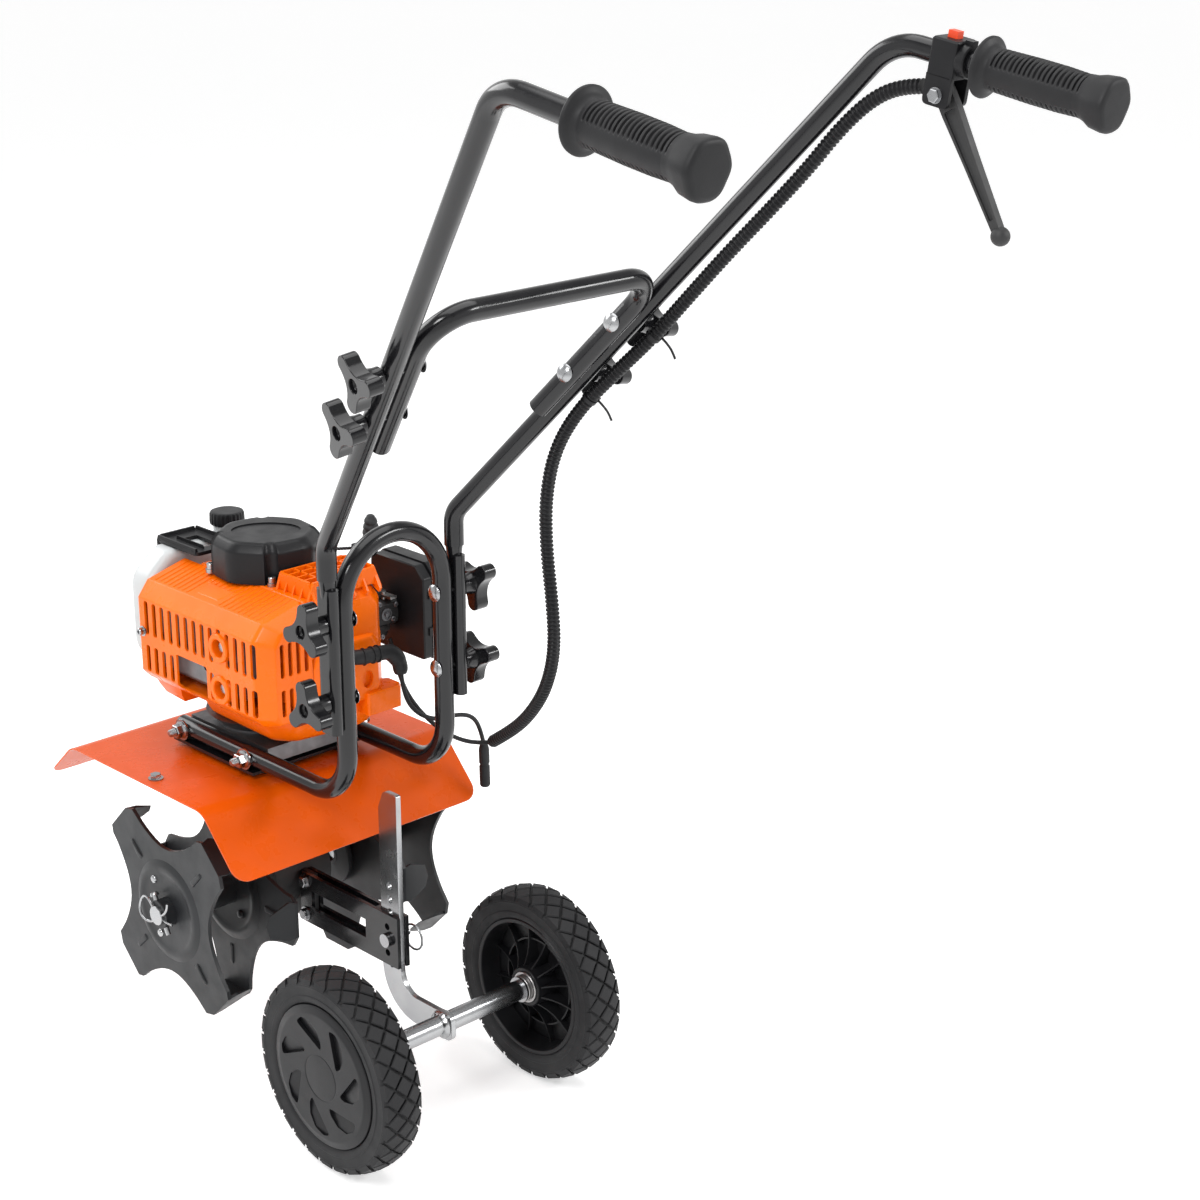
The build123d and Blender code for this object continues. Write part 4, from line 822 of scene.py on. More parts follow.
# muffler cover: a chamfered box with two rows of slots, two ringed openings and a window
COVER_OUT = ((-37.9, 389), (-86, 389), (-95, 399), (-95, 476), (-83, 491.5), (-37.9, 503.4))
COVER_REAR = ((-37.9, 392), (-76, 392), (-81, 399), (-81, 472), (-72, 484), (-37.9, 494))
COVER_IN = ((-34, 392), (-84.6, 392), (-92.4, 400.4), (-92.4, 475), (-81.6, 488.8), (-34, 501))
COVER_REAR_IN = ((-34, 395), (-74, 395), (-78.6, 401), (-78.6, 471), (-70.8, 481.4), (-34, 491))
ROWS = ((414.0, 28.0), (456.5, 35.0))
SLOT_PITCH, SLOT_START = 13.5, 79.75
RING_Y = SLOT_START - 9 * SLOT_PITCH
WINDOW_Y, WINDOW_Z = (-19.5, 31.5), (396.5, 431)

cover_mesh = bmesh.new()
panel_block(cover_mesh, ((94, COVER_OUT), (-97, COVER_OUT), (-113, COVER_REAR)))
cover = soften(solid("muffler_cover_shell", cover_mesh), 3.0, 3, 15)
inside = bmesh.new()
panel_block(inside, ((91.6, COVER_IN), (-96, COVER_IN), (-110.6, COVER_REAR_IN)))
cut(cover, inside)
cuts = bmesh.new()
for count in range(14):
    slot_y = SLOT_START - SLOT_PITCH * count
    for row_z, slot_length in ROWS:
        if row_z == ROWS[0][0] and WINDOW_Y[0] - 4 < slot_y < WINDOW_Y[1] + 4:
            continue
        if abs(slot_y - RING_Y) < 1:
            continue
        prism(cuts, rounded_rectangle(slot_y, row_z, 6.6, slot_length, 3.2), -100, -88, SIDE_ON)
prism(cuts, rounded_rectangle(sum(WINDOW_Y) / 2, sum(WINDOW_Z) / 2, WINDOW_Y[1] - WINDOW_Y[0],
                              WINDOW_Z[1] - WINDOW_Z[0], 3), -100, -88, SIDE_ON)
for ring_z, _ in ROWS:
    ring_frame = engine_frame((-88, RING_Y, ring_z), (-1, 0, 0))
    cylinder(cuts, 9.0, 0, 12, ring_frame, 40)
prism(cuts, rounded_rectangle(RING_Y, 473, 6.6, 5, 2), -100, -88, SIDE_ON)
for count in range(4):
    for row_z, slot_length in ROWS:
        rear_slot = rounded_rectangle(-73 + 9.4 * count, row_z - 0.5, 5.0, slot_length - 1, 2.4)
        prism(cuts, rear_slot, 106, 118, END_ON)
cut(cover, cuts)
trim = reopened(cover)
for ring_z, _ in ROWS:
    ring_frame = engine_frame((-84, RING_Y, ring_z), (-1, 0, 0))
    lathe(trim, ((9.0, 0), (9.0, 12.4), (9.8, 13.2), (13.6, 13.2), (14.6, 12.2), (14.6, 0)), ring_frame, 48)


def cover_top(x):
    """Height of the cover's sloping top at x."""
    return 491.5 + (x + 83) * (503.4 - 491.5) / 45.1


def top_rib(bm, y, x0, x1):
    """A rib across the cover's sloping top."""
    points = []
    for x in (x0, x1):
        for aside, lift in ((-1.5, -0.4), (1.5, -0.4), (-0.8, 0.75), (0.8, 0.75)):
            points.append((x, y + aside, cover_top(x) + lift))
    hull(bm, at_engine(*points))


for count in range(23):
    rib_y = 82 - 7.6 * count
    if -22 < rib_y < 24:
        top_rib(trim, rib_y, -56 - 0.12 * (24 - rib_y), -40)
    else:
        top_rib(trim, rib_y, -80, -40)
hull(trim, at_engine(*[(x, y, cover_top(x) + lift) for x, y, lift in (
    (-76, 17, 0), (-76, -16, 0), (-59, -19, 0), (-57, 20, 0), (-75, 15.6, 0.7), (-75, -14.6, 0.7),
    (-60, -17.4, 0.7), (-58.2, 18.4, 0.7))]))
# the lug that reaches down to the front stud
hull(trim, at_engine(
    (-84, 88, 392), (-84, 44, 392), (-40, 88, 392), (-40, 44, 392), (-74, 84, 372), (-74, 52, 370),
    (-44, 84, 372), (-44, 52, 370), (-80, 86, 382), (-80, 48, 380)))
settle(solid("slotted_muffler_cover", trim), "orange_plastic", "chassis", ["muffler_cover"], 32)

# muffler behind it
can = bmesh.new()
hull(can, at_engine(*[(x, y, z) for y in (-62, 74) for x, z in (
    (-44, 402), (-80, 402), (-86, 408), (-86, 474), (-80, 481), (-44, 481))]))
box_can = soften(solid("muffler_can", can), 3, 3, 20)
hole = bmesh.new()
cylinder(hole, 7.2, 0, 14, engine_frame((-80, -8, 428), (-1, 0, 0)), 32)
cut(box_can, hole)
settle(box_can, "cast", "chassis", ["muffler"], 32)
bolts = bmesh.new()
for ring_z, _ in ROWS:
    place = engine_frame((-85.8, RING_Y, ring_z), (-1, 0, 0))
    washer_bolt(bolts, place, 7.4, 1.4, 9.5, 6.2, 36)
settle(solid("muffler_bolts", bolts), "zinc", "chassis", (), 30)

# fan case: shoulder, volute, foot and round pan
case = bmesh.new()
panel_block(case, (
    (66, ((-37.8, 388), (40, 388), (52, 400), (52, 492), (44, 504), (-37.8, 504))),
    (-98, ((-37.8, 388), (40, 388), (56, 404), (56, 490), (46, 504), (-37.8, 504))),
    (-108, ((-37.8, 398), (34, 398), (46, 410), (46, 484), (38, 494), (-37.8, 494)))))
shell = soften(solid("fan_case_shoulder", case), 3, 3, 15)
opening = bmesh.new()
box(opening, (-30, -100, 420), (48, -52, 520), ENGINE)
cut(shell, opening)
body = reopened(shell)
volute = bmesh.new()
panel_block(volute, (
    (20, ((-30, 392), (58, 392), (58, 458), (52, 466), (-30, 466))),
    (-92, ((-36, 386), (54, 386), (62, 394), (62, 452), (55, 462), (-30, 466))),
    (-113, ((-37, 392), (36, 392), (42, 398), (40, 446), (34, 455), (-24, 455), (-37, 440)))))
volute_shell = soften(solid("volute", volute), 3.5, 3, 15)
port = bmesh.new()
port_frame = engine_frame((28, -116, 412), (0, -1, 0))
prism(port, ellipse(6.5, 9.0, 36), -14, 8, port_frame)
cut(volute_shell, port)
absorb(body, volute_shell)
PAN = rounded([(-46, -92), (40, -104), (64, -84), (62, 44), (40, 62), (-46, 62), (-60, 40), (-62, -70)],
              22, 6)
PAN_MIDDLE = (0, -20)
loft(body, ((scaled(PAN, 0.7, PAN_MIDDLE), 352.5), (scaled(PAN, 0.8, PAN_MIDDLE), 354.5),
            (scaled(PAN, 0.92, PAN_MIDDLE), 361), (scaled(PAN, 0.98, PAN_MIDDLE), 370), (PAN, 380),
            (PAN, 392)), ENGINE)
foot = rounded([(24, -118), (64, -118), (69, -112), (69, -94), (62, -90), (62, -74), (24, -74)], 3, 3)
loft(body, ((foot, 376), (foot, 395.5), (scaled(foot, 0.95, (46, -96)), 398)), ENGINE)


def grille_rib(bm, along_x, place, half):
    """One rib of the raised grille, sloping down to the case at both ends."""
    if along_x:
        profile = ((-33, 503), (-26, 520.5), (48, 520.5), (56, 500), (56, 498), (44, 504), (-20, 502))
        here = engine_frame((0, place, 0), (0, -1, 0), (1, 0, 0))
    else:
        profile = ((-47, 503), (-54, 520.5), (-98, 520.5), (-110, 500), (-108, 496), (-96, 502), (-60, 502))
        here = engine_frame((place, 0, 0), (1, 0, 0), (0, 1, 0))
    prism(bm, profile, -half, half, here)


for count in range(5):
    grille_rib(body, True, -53 - 12.2 * count, 1.5 if count in (0, 4) else 1.05)
for count in range(6):
    grille_rib(body, False, -27.5 + 15.4 * count, 1.5 if count in (0, 5) else 1.05)
settle(solid("stepped_fan_case", body), "orange_plastic", "chassis", ["fan_case"], 32)

# painted shade: a black plate just under the grille and a black disc inside the volute's port stand in for the
# shade inside the fan case
painted_shade = bmesh.new()
box(painted_shade, (-30, -100, 470), (48, -52, 474), ENGINE)
cylinder(painted_shade, 5.6, -1, 1, engine_frame((28, -105, 412), (0, -1, 0)), 24)
settle(solid("painted_shade_in_fan_case", painted_shade), "black_cast", "chassis", (), 30)

# starter housing: eight flats, a flute for each screw, a chamfered top with a blank oval
HOUSING = (0, 5)


def housing_outline(reach, flute):
    """The starter housing from above: a flute at each screw and a bowed flat between."""
    made = []
    for corner in range(8):
        heading = 238 + 45 * corner
        if corner % 2 == 0:
            for aside in (-13.5, -9.5):
                made.append(polar(reach * 0.985, heading + aside))
            for k in range(-3, 4):
                centre = Vector(polar(reach * 1.055, heading))
                made.append(tuple(centre + Vector(polar(flute, heading + 180 - 22 * k))))
            for aside in (9.5, 13.5):
                made.append(polar(reach * 0.985, heading + aside))
        else:
            for k in range(-2, 3):
                made.append(polar(reach * (1.0 - 0.004 * k * k), heading + 5 * k))
    return made


housing = bmesh.new()
housing_place = ENGINE @ Matrix.Translation((*HOUSING, 0))
loft(housing, ((housing_outline(54.3, 7.6), 504.2), (housing_outline(53.6, 7.6), 533.5),
               (housing_outline(52.6, 7.4), 536.2), (housing_outline(48.6, 6.4), 541.4),
               (housing_outline(46.4, 6.0), 543.2), (housing_outline(43.0, 5.4), 543.9)), housing_place)
top = solid("starter_top", housing)
oval = bmesh.new()
prism(oval, ellipse(34, 24, 72, -42), 542.7, 550, housing_place)
cut(top, oval)
settle(top, "black_plastic", "chassis", ["starter_housing"], 30)
screws = bmesh.new()
for corner in range(4):
    spot = Vector((*HOUSING, 0)) + Vector((*polar(55.5, 238 + 90 * corner), 504))
    place = engine_frame(spot, (0, 0, 1))
    cylinder(screws, 5.0, 0, 3.6, place, 32)
    lathe(screws, ((0, 3.6), (4.0, 3.6), (4.0, 8.6), (3.5, 9.4), (2.1, 9.4), (2.1, 6.8), (0, 6.8)), place, 32)
place = engine_frame((-94.6, 87, 441), (-1, 0, 0))
cylinder(screws, 5.4, 0, 1.2, place, 32)
lathe(screws, ((0, 1.2), (3.8, 1.2), (3.8, 5.4), (3.3, 6.0), (1.9, 6.0), (1.9, 4.0), (0, 4.0)), place, 32)
settle(solid("cover_screws", screws), "zinc", "chassis", (), 30)

# fuel tank and its cap
NECK = ENGINE @ Matrix.Translation((30, 113, 0))
tank = bmesh.new()
tank_outline = rounded([(-80, 399), (66, 399), (66, 480), (44, 511.8), (-52, 511.8), (-80, 486)],
                       (24, 24, 20, 16, 22, 26), 8)
prism(tank, tank_outline, -130.9, -96.2, END_ON)
tank_piece = soften(solid("milky_tank", tank), 9, 5, 60)
neck = reopened(tank_piece)
cylinder(neck, 14.5, 505, 520.1, NECK, 48)
settle(solid("milky_tank", neck), "white_plastic", "chassis", ["fuel_tank"], 35)


def wavy(reach, depth, waves, steps):
    """A circle with a wave round it that runs from depth inside it to the circle itself."""
    angles = [360 * k / steps for k in range(steps)]
    return [polar(reach - depth * (0.5 + 0.5 * math.cos(math.radians(waves * a))), a) for a in angles]


CAP_LEVELS = ((520.2, 16.6, 0), (521.0, 17.6, 0.5), (523, 18.0, 1.0), (531, 17.8, 1.0), (533.2, 16.8, 0.3),
              (534.0, 14.5, 0))
cap = bmesh.new()
loft(cap, [(wavy(reach, depth, 24, 120), height) for height, reach, depth in CAP_LEVELS], NECK)
settle(solid("knurled_fuel_cap", cap), "black_plastic", "fuel_cap", ["fuel_cap"], 40)

# strap plate over the tank, with raised rims and a window
strap = bmesh.new()
plate = rounded([(-44, 62), (6, 62), (6, 133), (-44, 133)], (6, 4, 8, 10), 4)
prism(strap, plate, 512.4, 516.0, ENGINE)
strap_piece = solid("strap_plate", strap)
gap = bmesh.new()
prism(gap, rounded([(-25, 74), (-9, 74), (-9, 112), (-25, 112)], 2, 3), 505, 525, ENGINE)
cut(strap_piece, gap)
strap = reopened(strap_piece)
for x0, x1, y0, y1 in ((-44, -40, 64, 131), (2, 5.6, 64, 131), (-40, 2, 128.5, 132.5), (-31, -28.4, 70, 116)):
    hull(strap, at_engine((x0, y0, 514), (x1, y0, 514), (x0, y1, 514), (x1, y1, 514),
                          (x0 + 0.9, y0 + 0.9, 519.4), (x1 - 0.9, y0 + 0.9, 519.4),
                          (x0 + 0.9, y1 - 0.9, 519.4), (x1 - 0.9, y1 - 0.9, 519.4)))
box(strap, (-42, 131.2, 394), (4, 134, 514), ENGINE)
box(strap, (-42, 96, 394), (4, 134, 397.4), ENGINE)
settle(solid("tank_strap_plate", strap), "black_plastic", "chassis", ["tank_strap"], 30)

# ---------------------------------------------------------------- intake, spark plug boot and starter grip
FILTER_LOW, FILTER_HIGH = low("air_filter"), high("air_filter")


def filter_outline(inset):
    """The filter box from the side, y and z, with its upper rear corner cut."""
    y0, y1 = FILTER_LOW.y - ROTOR.y + inset, FILTER_HIGH.y - ROTOR.y - inset
    z0, z1 = FILTER_LOW.z + inset, FILTER_HIGH.z - inset
    return rounded([(y0, z0), (y1, z0), (y1, z1 - 6), (y1 - 8, z1), (y0 + 12, z1), (y0, z1 - 12)], 5, 4)


filter_box = bmesh.new()
x0, x1 = FILTER_LOW.x, FILTER_HIGH.x
FILTER_LEVELS = ((2.4, x0), (1.2, x0 + 1.2), (1.2, x0 + 10), (2.2, x0 + 10.4), (2.2, x0 + 11.6),
                 (0, x0 + 12), (0, x1 - 5), (1.4, x1 - 2), (4.5, x1))
loft(filter_box, [(filter_outline(inset), x) for inset, x in FILTER_LEVELS], SIDE_ON)
for z in (446, 484):
    box(filter_box, (x0 + 6, FILTER_LOW.y - ROTOR.y - 0.4, z - 4),
        (x0 + 17, FILTER_LOW.y - ROTOR.y + 3, z + 4), ENGINE)
loft(filter_box, ((rounded_rectangle(-82, 466, 52, 46, 9), x1 - 1),
                  (rounded_rectangle(-82, 466, 48, 42, 8), x1 + 0.8)), SIDE_ON)
settle(solid("filter_box_with_lid", filter_box), "black_plastic", "chassis", ["air_filter"], 30)

CARB_Y, CARB_Z = middle("carburettor").y - ROTOR.y, middle("carburettor").z
carb = bmesh.new()
barrel = engine_frame((0, CARB_Y, CARB_Z + 2), (1, 0, 0), (0, 1, 0))
lathe(carb, ((0, 57), (15, 57), (15, 60), (11, 61), (11, 84), (16.5, 85), (16.5, 91.8), (0, 91.8)),
      barrel, 40)
casting = rounded_rectangle(CARB_Y, CARB_Z + 1, 30, 34, 4)
loft(carb, ((casting, 64), (casting, 82)), SIDE_ON)
bowl = ENGINE @ Matrix.Translation((73, CARB_Y, 0))
lathe(carb, ((0, 434), (9, 434), (13.5, 436), (14.5, 439), (14.5, 445), (16, 445), (16, 448), (0, 448)),
      bowl, 40)
loft(carb, ((rounded_rectangle(73, CARB_Y, 22, 24, 3), 476),
            (rounded_rectangle(73, CARB_Y, 20, 22, 3), 482)), ENGINE)
cylinder(carb, 4.4, 480, 487, bowl, 6)
hull(carb, at_engine((60, CARB_Y - 22, 452), (86, CARB_Y - 22, 452), (60, CARB_Y - 22, 470),
                     (86, CARB_Y - 22, 474), (64, CARB_Y - 12, 450), (84, CARB_Y - 12, 450),
                     (64, CARB_Y - 12, 474), (84, CARB_Y - 12, 476)))
hose(carb, smooth_line(at_engine((70, CARB_Y + 12, 455), (70, CARB_Y + 30, 458), (66, CARB_Y + 70, 474),
                                  (62, CARB_Y + 120, 484), (56, 97, 484)), 6), 2.6, 12)
settle(solid("carburettor_castings", carb), "black_cast", "chassis", ["carburettor"], 30)
trims = bmesh.new()
for x, z in ((64, 474), (80, 456), (66, 440), (84, 470)):
    place = engine_frame((x, CARB_Y - 21.6, z), (0, -1, 0))
    lathe(trims, ((0, 0), (2.7, 0), (2.7, 1.6), (2.0, 2.4), (0.8, 2.4), (0.8, 1.4), (0, 1.4)), place, 20)
place = engine_frame((72, CARB_Y - 21.8, 462), (0, -1, 0))
lathe(trims, ((0, 0), (6.4, 0), (6.4, 1.4), (4.6, 1.4), (4.6, 0.6), (2.6, 0.6), (2.6, 2.6), (0, 2.6)),
      place, 28)
settle(solid("carburettor_screws", trims), "zinc_cast", "chassis", (), 30)

BOOT = at_engine((0, -100, 445), (0, -112, 445), (0, -124, 445), (9, -131, 445), (24, -133.4, 445),
                 (38, -134, 443), (46, -135, 436), (49.4, -135.8, 428), (50, -136.4, 419))
boot = bmesh.new()
boot_line = smooth_line(BOOT, 5)
shares = [i / len(boot_line) for i in range(len(boot_line))]
boot_radii = [7.4 + 1.0 * window(t, 0.55, 0.84, 0.1) - 1.8 * window(t, 0.9, 2, 0.1) for t in shares]
hose(boot, boot_line, boot_radii, 24)
for share in (0.38, 0.44, 0.5):
    spot = boot_line[int(share * len(boot_line))]
    ahead = boot_line[int(share * len(boot_line)) + 1] - spot
    lathe(boot, ((7, -0.8), (8.7, -0.6), (8.7, 0.6), (7, 0.8)), frame_at(spot, ahead), 28)
settle(solid("spark_plug_boot", boot), "black_rubber", "chassis", ["spark_plug_and_boot"], 40)
plug = bmesh.new()
plug_frame = engine_frame((0, -96, 445), (0, -1, 0), (1, 0, 0))
cylinder(plug, 9.6, 0, 3, plug_frame, 36)
hex_head(plug, plug_frame, 16, 3, 12)
cylinder(plug, 6.6, 12, 17, plug_frame, 30)
settle(solid("spark_plug_body", plug), "zinc", "chassis", (), 30)

# starter grip on its rope
PULL = axis("starter_pull")
PULL_SIDE = Vector((PULL.y, -PULL.x, 0))
ROPE = Vector((0, CRANK.y, 525)) + PULL_SIDE * 30.5
seat = ROPE + PULL * 103
upright = frame_at(seat, PULL, (0, 0, 1))                       # z along the pull, x upward
handle = bmesh.new()
levels = []
for k in range(43):
    height = 516 + k
    swell = 1 + 0.16 * math.cos(2 * math.pi * (k - 21) / 42) - 0.10 * window((k % 6) / 6, 0.3, 0.8, 0.15)
    close = math.sqrt(max(1 - (abs(k - 21) / 21.4) ** 8, 0.05))
    levels.append((ellipse(7.4 * swell * close, 11.2 * swell * close, 40), height))
turned = frame_at(Vector((seat.x, seat.y, 0)) + PULL * 7.6, (0, 0, 1), PULL)
loft(handle, levels, turned)
lathe(handle, ((0, -12), (4.2, -12), (5.6, -6), (6.8, 0), (6.8, 4), (0, 4)), upright, 28)
settle(solid("starter_grip_moulding", handle), "black_rubber", "starter_grip", ["starter_grip_and_rope"], 50)
rope = bmesh.new()
strands = 90
for strand in range(3):
    path = []
    for k in range(strands + 1):
        t = 2 * math.pi * (k / strands * 11 + strand / 3)
        path.append(ROPE + PULL * (96 * k / strands - 1) + Vector((0, 0, 1)) * 0.75 * math.cos(t)
                    + PULL_SIDE * 0.75 * math.sin(t))
    hose(rope, path, 0.95, 8)
settle(solid("starter_rope", rope), "black_rubber", "starter_grip", (), 50)

# ---------------------------------------------------------------- rotor, fender and fasteners, with the drag bracket's bolts
DISC_THICK = 4.0
SCALLOP_PULL = 54.7


def tine_outline(start):
    """Four chamfered lobes with deep round scallops between."""
    made = []
    for lobe in range(4):
        heading = start + 90 * lobe
        for reach, aside in ((88, -28), (104, -26), (111, -15), (111, 22), (104, 27), (92, 28)):
            turn = math.degrees(math.atan2(aside, reach))
            made.append(polar(math.hypot(reach, aside), heading + turn))
        a = Vector(made[-1])
        b = Vector(polar(math.hypot(88, 28), heading + 90 + math.degrees(math.atan2(-28, 88))))
        deep = Vector(polar(SCALLOP_PULL, heading + 45))
        for k in range(1, 12):
            t = k / 12
            made.append(tuple(a * (1 - t) ** 3 + a.lerp(deep, 0.78) * 3 * t * (1 - t) ** 2
                              + b.lerp(deep, 0.78) * 3 * t * t * (1 - t) + b * t ** 3))
    return made


def tine_disc(name, side, distance, start, fold):
    """One pressed disc with its four folded blades; fold is +1 for blades bent outward."""
    place = side_frame(side, distance, ROTOR.y, ROTOR.z)
    outline = tine_outline(start)
    bm = bmesh.new()
    prism(bm, outline, -DISC_THICK / 2, DISC_THICK / 2, place)
    for lobe in range(4):
        turned = place @ Matrix.Rotation(math.radians(start + 90 * lobe), 4, "Z")
        blade = ((-15, 0), (22, 0), (25, 8 * fold), (16, 30 * fold), (6, 34 * fold), (-8, 30 * fold),
                 (-16, 10 * fold))
        hull(bm, [turned @ Vector((r, a, h)) for a, h in blade
                  for r in (107.6 - abs(h) * 0.03, 111.0 - abs(h) * 0.12)])
    disc = soften(solid(f"{name}_blank", bm), 0.9, 2, 40)
    bm = reopened(disc)
    face = DISC_THICK / 2
    lathe(bm, ((14.6, face - 0.4), (14.6, face + 0.7), (36, face + 0.9), (41, face + 2.2), (44.5, face + 2.9),
               (48, face + 2.2), (52.5, face + 0.3), (54, face - 0.4)), place, 96)
    for lobe in range(4):
        turned = place @ Matrix.Rotation(math.radians(start + 90 * lobe), 4, "Z")
        rib = rounded([(60, -3.4), (84, -2.4), (84, 2.4), (60, 3.4)], 2.3, 4)
        loft(bm, ((rib, face - 0.2), (scaled(rib, 0.86, (72, 0)), face + 1.2),
                  (scaled(rib, 0.55, (72, 0)), face + 1.9)), turned)
    return bm, place


def rivet(bm, place, spot, radius=4.4, lift=2.6):
    """A rounded rivet head."""
    here = place @ Matrix.Translation((*spot, 0))
    lathe(bm, ((0, 0), (radius, 0), (radius * 0.98, lift * 0.4), (radius * 0.8, lift * 0.8),
               (radius * 0.45, lift), (0, lift)), here, 24)


bright = bmesh.new()
for side_name, side_sign in SIDES:
    outer, outer_place = tine_disc(f"{side_name}_outer_disc", side_sign, 140, 45, -1)
    inner, _ = tine_disc(f"{side_name}_inner_disc", side_sign, 68, 0, 1)
    tube_place = side_frame(side_sign, 0, ROTOR.y, ROTOR.z)
    joined = solid(f"{side_name}_outer_disc", outer)
    absorb(inner, joined)
    lathe(inner, ((10.1, 56), (13.9, 56), (14.5, 56.6), (14.5, 154.4), (13.9, 155), (10.1, 155)),
          tube_place, 48)
    lathe(inner, ((14, 56.4), (33, 56.4), (34, 57.4), (34, 61.2), (33, 62.2), (14, 62.2)), tube_place, 72)
    for k in range(4):
        rivet(inner, tube_place @ Matrix.Translation((0, 0, 70.2)), polar(29, 45 + 90 * k), 4.8, 3.6)
    settle(solid(f"{side_name}_tine_set", inner), "black_steel", "rotor", [f"{side_name}_tines"], 28)
    for spot in (polar(33, 62), polar(35, -52)):
        rivet(bright, outer_place @ Matrix.Translation((0, 0, 2.6)), spot)
    # shaft end, clevis pin and its ring clip
    lathe(bright, ((0, 60), (10, 60), (10, 157.4), (9.4, 158), (0, 158)), tube_place, 40)
    pin_place = frame_at((side_sign * 151, ROTOR.y, ROTOR.z), (0, 0.5, 0.866), (1, 0, 0))
    lathe(bright, ((0, -22), (2.5, -22), (2.5, 18.6), (4.5, 18.8), (4.5, 20.6), (3.4, 22.4), (0, 22.8)),
          pin_place, 24)
    loop_centre = Vector((side_sign * 155.6, ROTOR.y + 17, ROTOR.z + 1))
    ring = [loop_centre + Vector((side_sign * 1.2 * math.sin(2 * t), -13 * math.cos(t), 13 * math.sin(t)))
            for t in (math.radians(35 + 290 * k / 36) for k in range(37))]
    wave = [ring[0] + Vector((0, -d, e))
            for d, e in ((5, -4), (10, -1), (15, -5), (20, -2), (25, 4), (27, 11))]
    leg = [ring[-1] + Vector((0, -d, e)) for d, e in ((5, 3), (12, 3.5), (22, 3), (30, 3.5))]
    hose(bright, smooth_line([*wave[::-1], *ring, *leg], 3), 1.25, 10)
settle(solid("tine_shaft_pins_and_clips", bright), "zinc", "rotor", ["tine_shaft_and_pins"], 35)


def bent_sheet(bm, profile, half_width, thickness, corner):
    """A sheet through a profile in y and z, with rounded corners in plan."""
    points = [Vector(p) for p in profile]
    lengths = [0.0]
    for a, b in zip(points, points[1:]):
        lengths.append(lengths[-1] + (b - a).length)
    total = lengths[-1]
    stations = sorted({*lengths, *[corner * (1 - math.cos(math.radians(15 * k))) for k in range(7)],
                       *[total - corner * (1 - math.cos(math.radians(15 * k))) for k in range(7)]})
    upper, lower = [], []
    for s in stations:
        i = max(k for k in range(len(lengths) - 1) if lengths[k] <= s + 1e-6)
        ahead = (points[i + 1] - points[i]).normalized()
        spot = points[i] + ahead * (s - lengths[i])
        before = (points[i] - points[i - 1]).normalized() if i and abs(s - lengths[i]) < 1e-6 else ahead
        lean = (ahead + before).normalized()
        normal = Vector((-lean.y, lean.x))
        near = min(s, total - s)
        reach = half_width - (corner - math.sqrt(max(corner ** 2 - (corner - near) ** 2, 0))
                              if near < corner else 0)
        across = [-reach + 2 * reach * k / 12 for k in range(13)]
        under = spot - normal * thickness
        upper.append([bm.verts.new(Vector((x, spot.x, spot.y))) for x in across])
        lower.append([bm.verts.new(Vector((x, under.x, under.y))) for x in across])
    skin(bm, upper, around=False)
    skin(bm, lower, around=False)
    for row in (0, -1):
        skin(bm, [upper[row], lower[row]], around=False)
    for end in (0, -1):
        skin(bm, [[row[end] for row in upper], [row[end] for row in lower]], around=False)


def eased(points, radius, steps=6):
    """An open line with its bends rounded."""
    sizes = [0] + [radius] * (len(points) - 2) + [0]
    return rounded(points, sizes, steps)


FENDER_TOP = high("fender").z
SHEET_THICK, SHEET_CORNER, DRIVE_HOLE_R = 1.5, 16, 26
FENDER_BOLT_X, FENDER_BOLT_Y = 135, 19
STUD_Z, STUD_YS, PLATE_BOLT_X, PLATE_BOLT_YS = 334, (-38, 67), 44, (-42, 74)
PIN_Z, BRACKET_BOLT_STEP = 166.0, 18
fender_line = eased([(ROTOR.y - 133, 257.6), (ROTOR.y - 79, FENDER_TOP), (ROTOR.y + 147, FENDER_TOP),
                     (ROTOR.y + 193.4, 272.6)], 26, 8)
sheet = bmesh.new()
bent_sheet(sheet, fender_line, high("fender").x, SHEET_THICK, SHEET_CORNER)
fender_piece = solid("bent_fender_sheet", sheet)
holes = bmesh.new()
for _, side_sign in SIDES:
    cylinder(holes, 3.3, 305, 325,
             ENGINE @ Matrix.Translation((side_sign * FENDER_BOLT_X, FENDER_BOLT_Y, 0)), 24)
cylinder(holes, DRIVE_HOLE_R, 300, 325, Matrix.Translation((0, CRANK.y, 0)), 48)
cut(fender_piece, holes)
settle(fender_piece, "orange_paint", "chassis", ["fender"], 30)

fasteners = bmesh.new()
for _, side_sign in SIDES:
    for y in STUD_YS:
        place = engine_frame((side_sign * 68.9, y, STUD_Z), (side_sign, 0, 0), (0, 1, 0))
        flange_nut(fasteners, place, 8.0, 6.0)
        cylinder(fasteners, 4, -19, 0.5, place, 24)
    place = engine_frame((side_sign * FENDER_BOLT_X, FENDER_BOLT_Y, FENDER_TOP), (0, 0, 1))
    washer_bolt(fasteners, place, 7.4, 1.2, 10, 5.2)
    cylinder(fasteners, 3, -9, 1, place, 20)
    under = engine_frame((side_sign * FENDER_BOLT_X, FENDER_BOLT_Y, FENDER_TOP - 2.2), (0, 0, -1))
    hex_head(fasteners, under, 10, 0, 5)
    for y in PLATE_BOLT_YS:
        place = engine_frame((side_sign * PLATE_BOLT_X, y, high("mounting_plate").z), (0, 0, 1))
        washer_bolt(fasteners, place, 7.8, 1.4, 10, 6.0)
for z in (PIN_Z - BRACKET_BOLT_STEP, PIN_Z + BRACKET_BOLT_STEP):
    for side_sign in (-1, 1):
        place = engine_frame((side_sign * 7.3, -44, z), (side_sign, 0, 0), (0, 1, 0))
        washer_bolt(fasteners, place, 7.4, 1.2, 10, 5.4)
settle(solid("nuts_bolts_and_washers", fasteners), "zinc", "chassis", ["frame_fasteners"], 30)
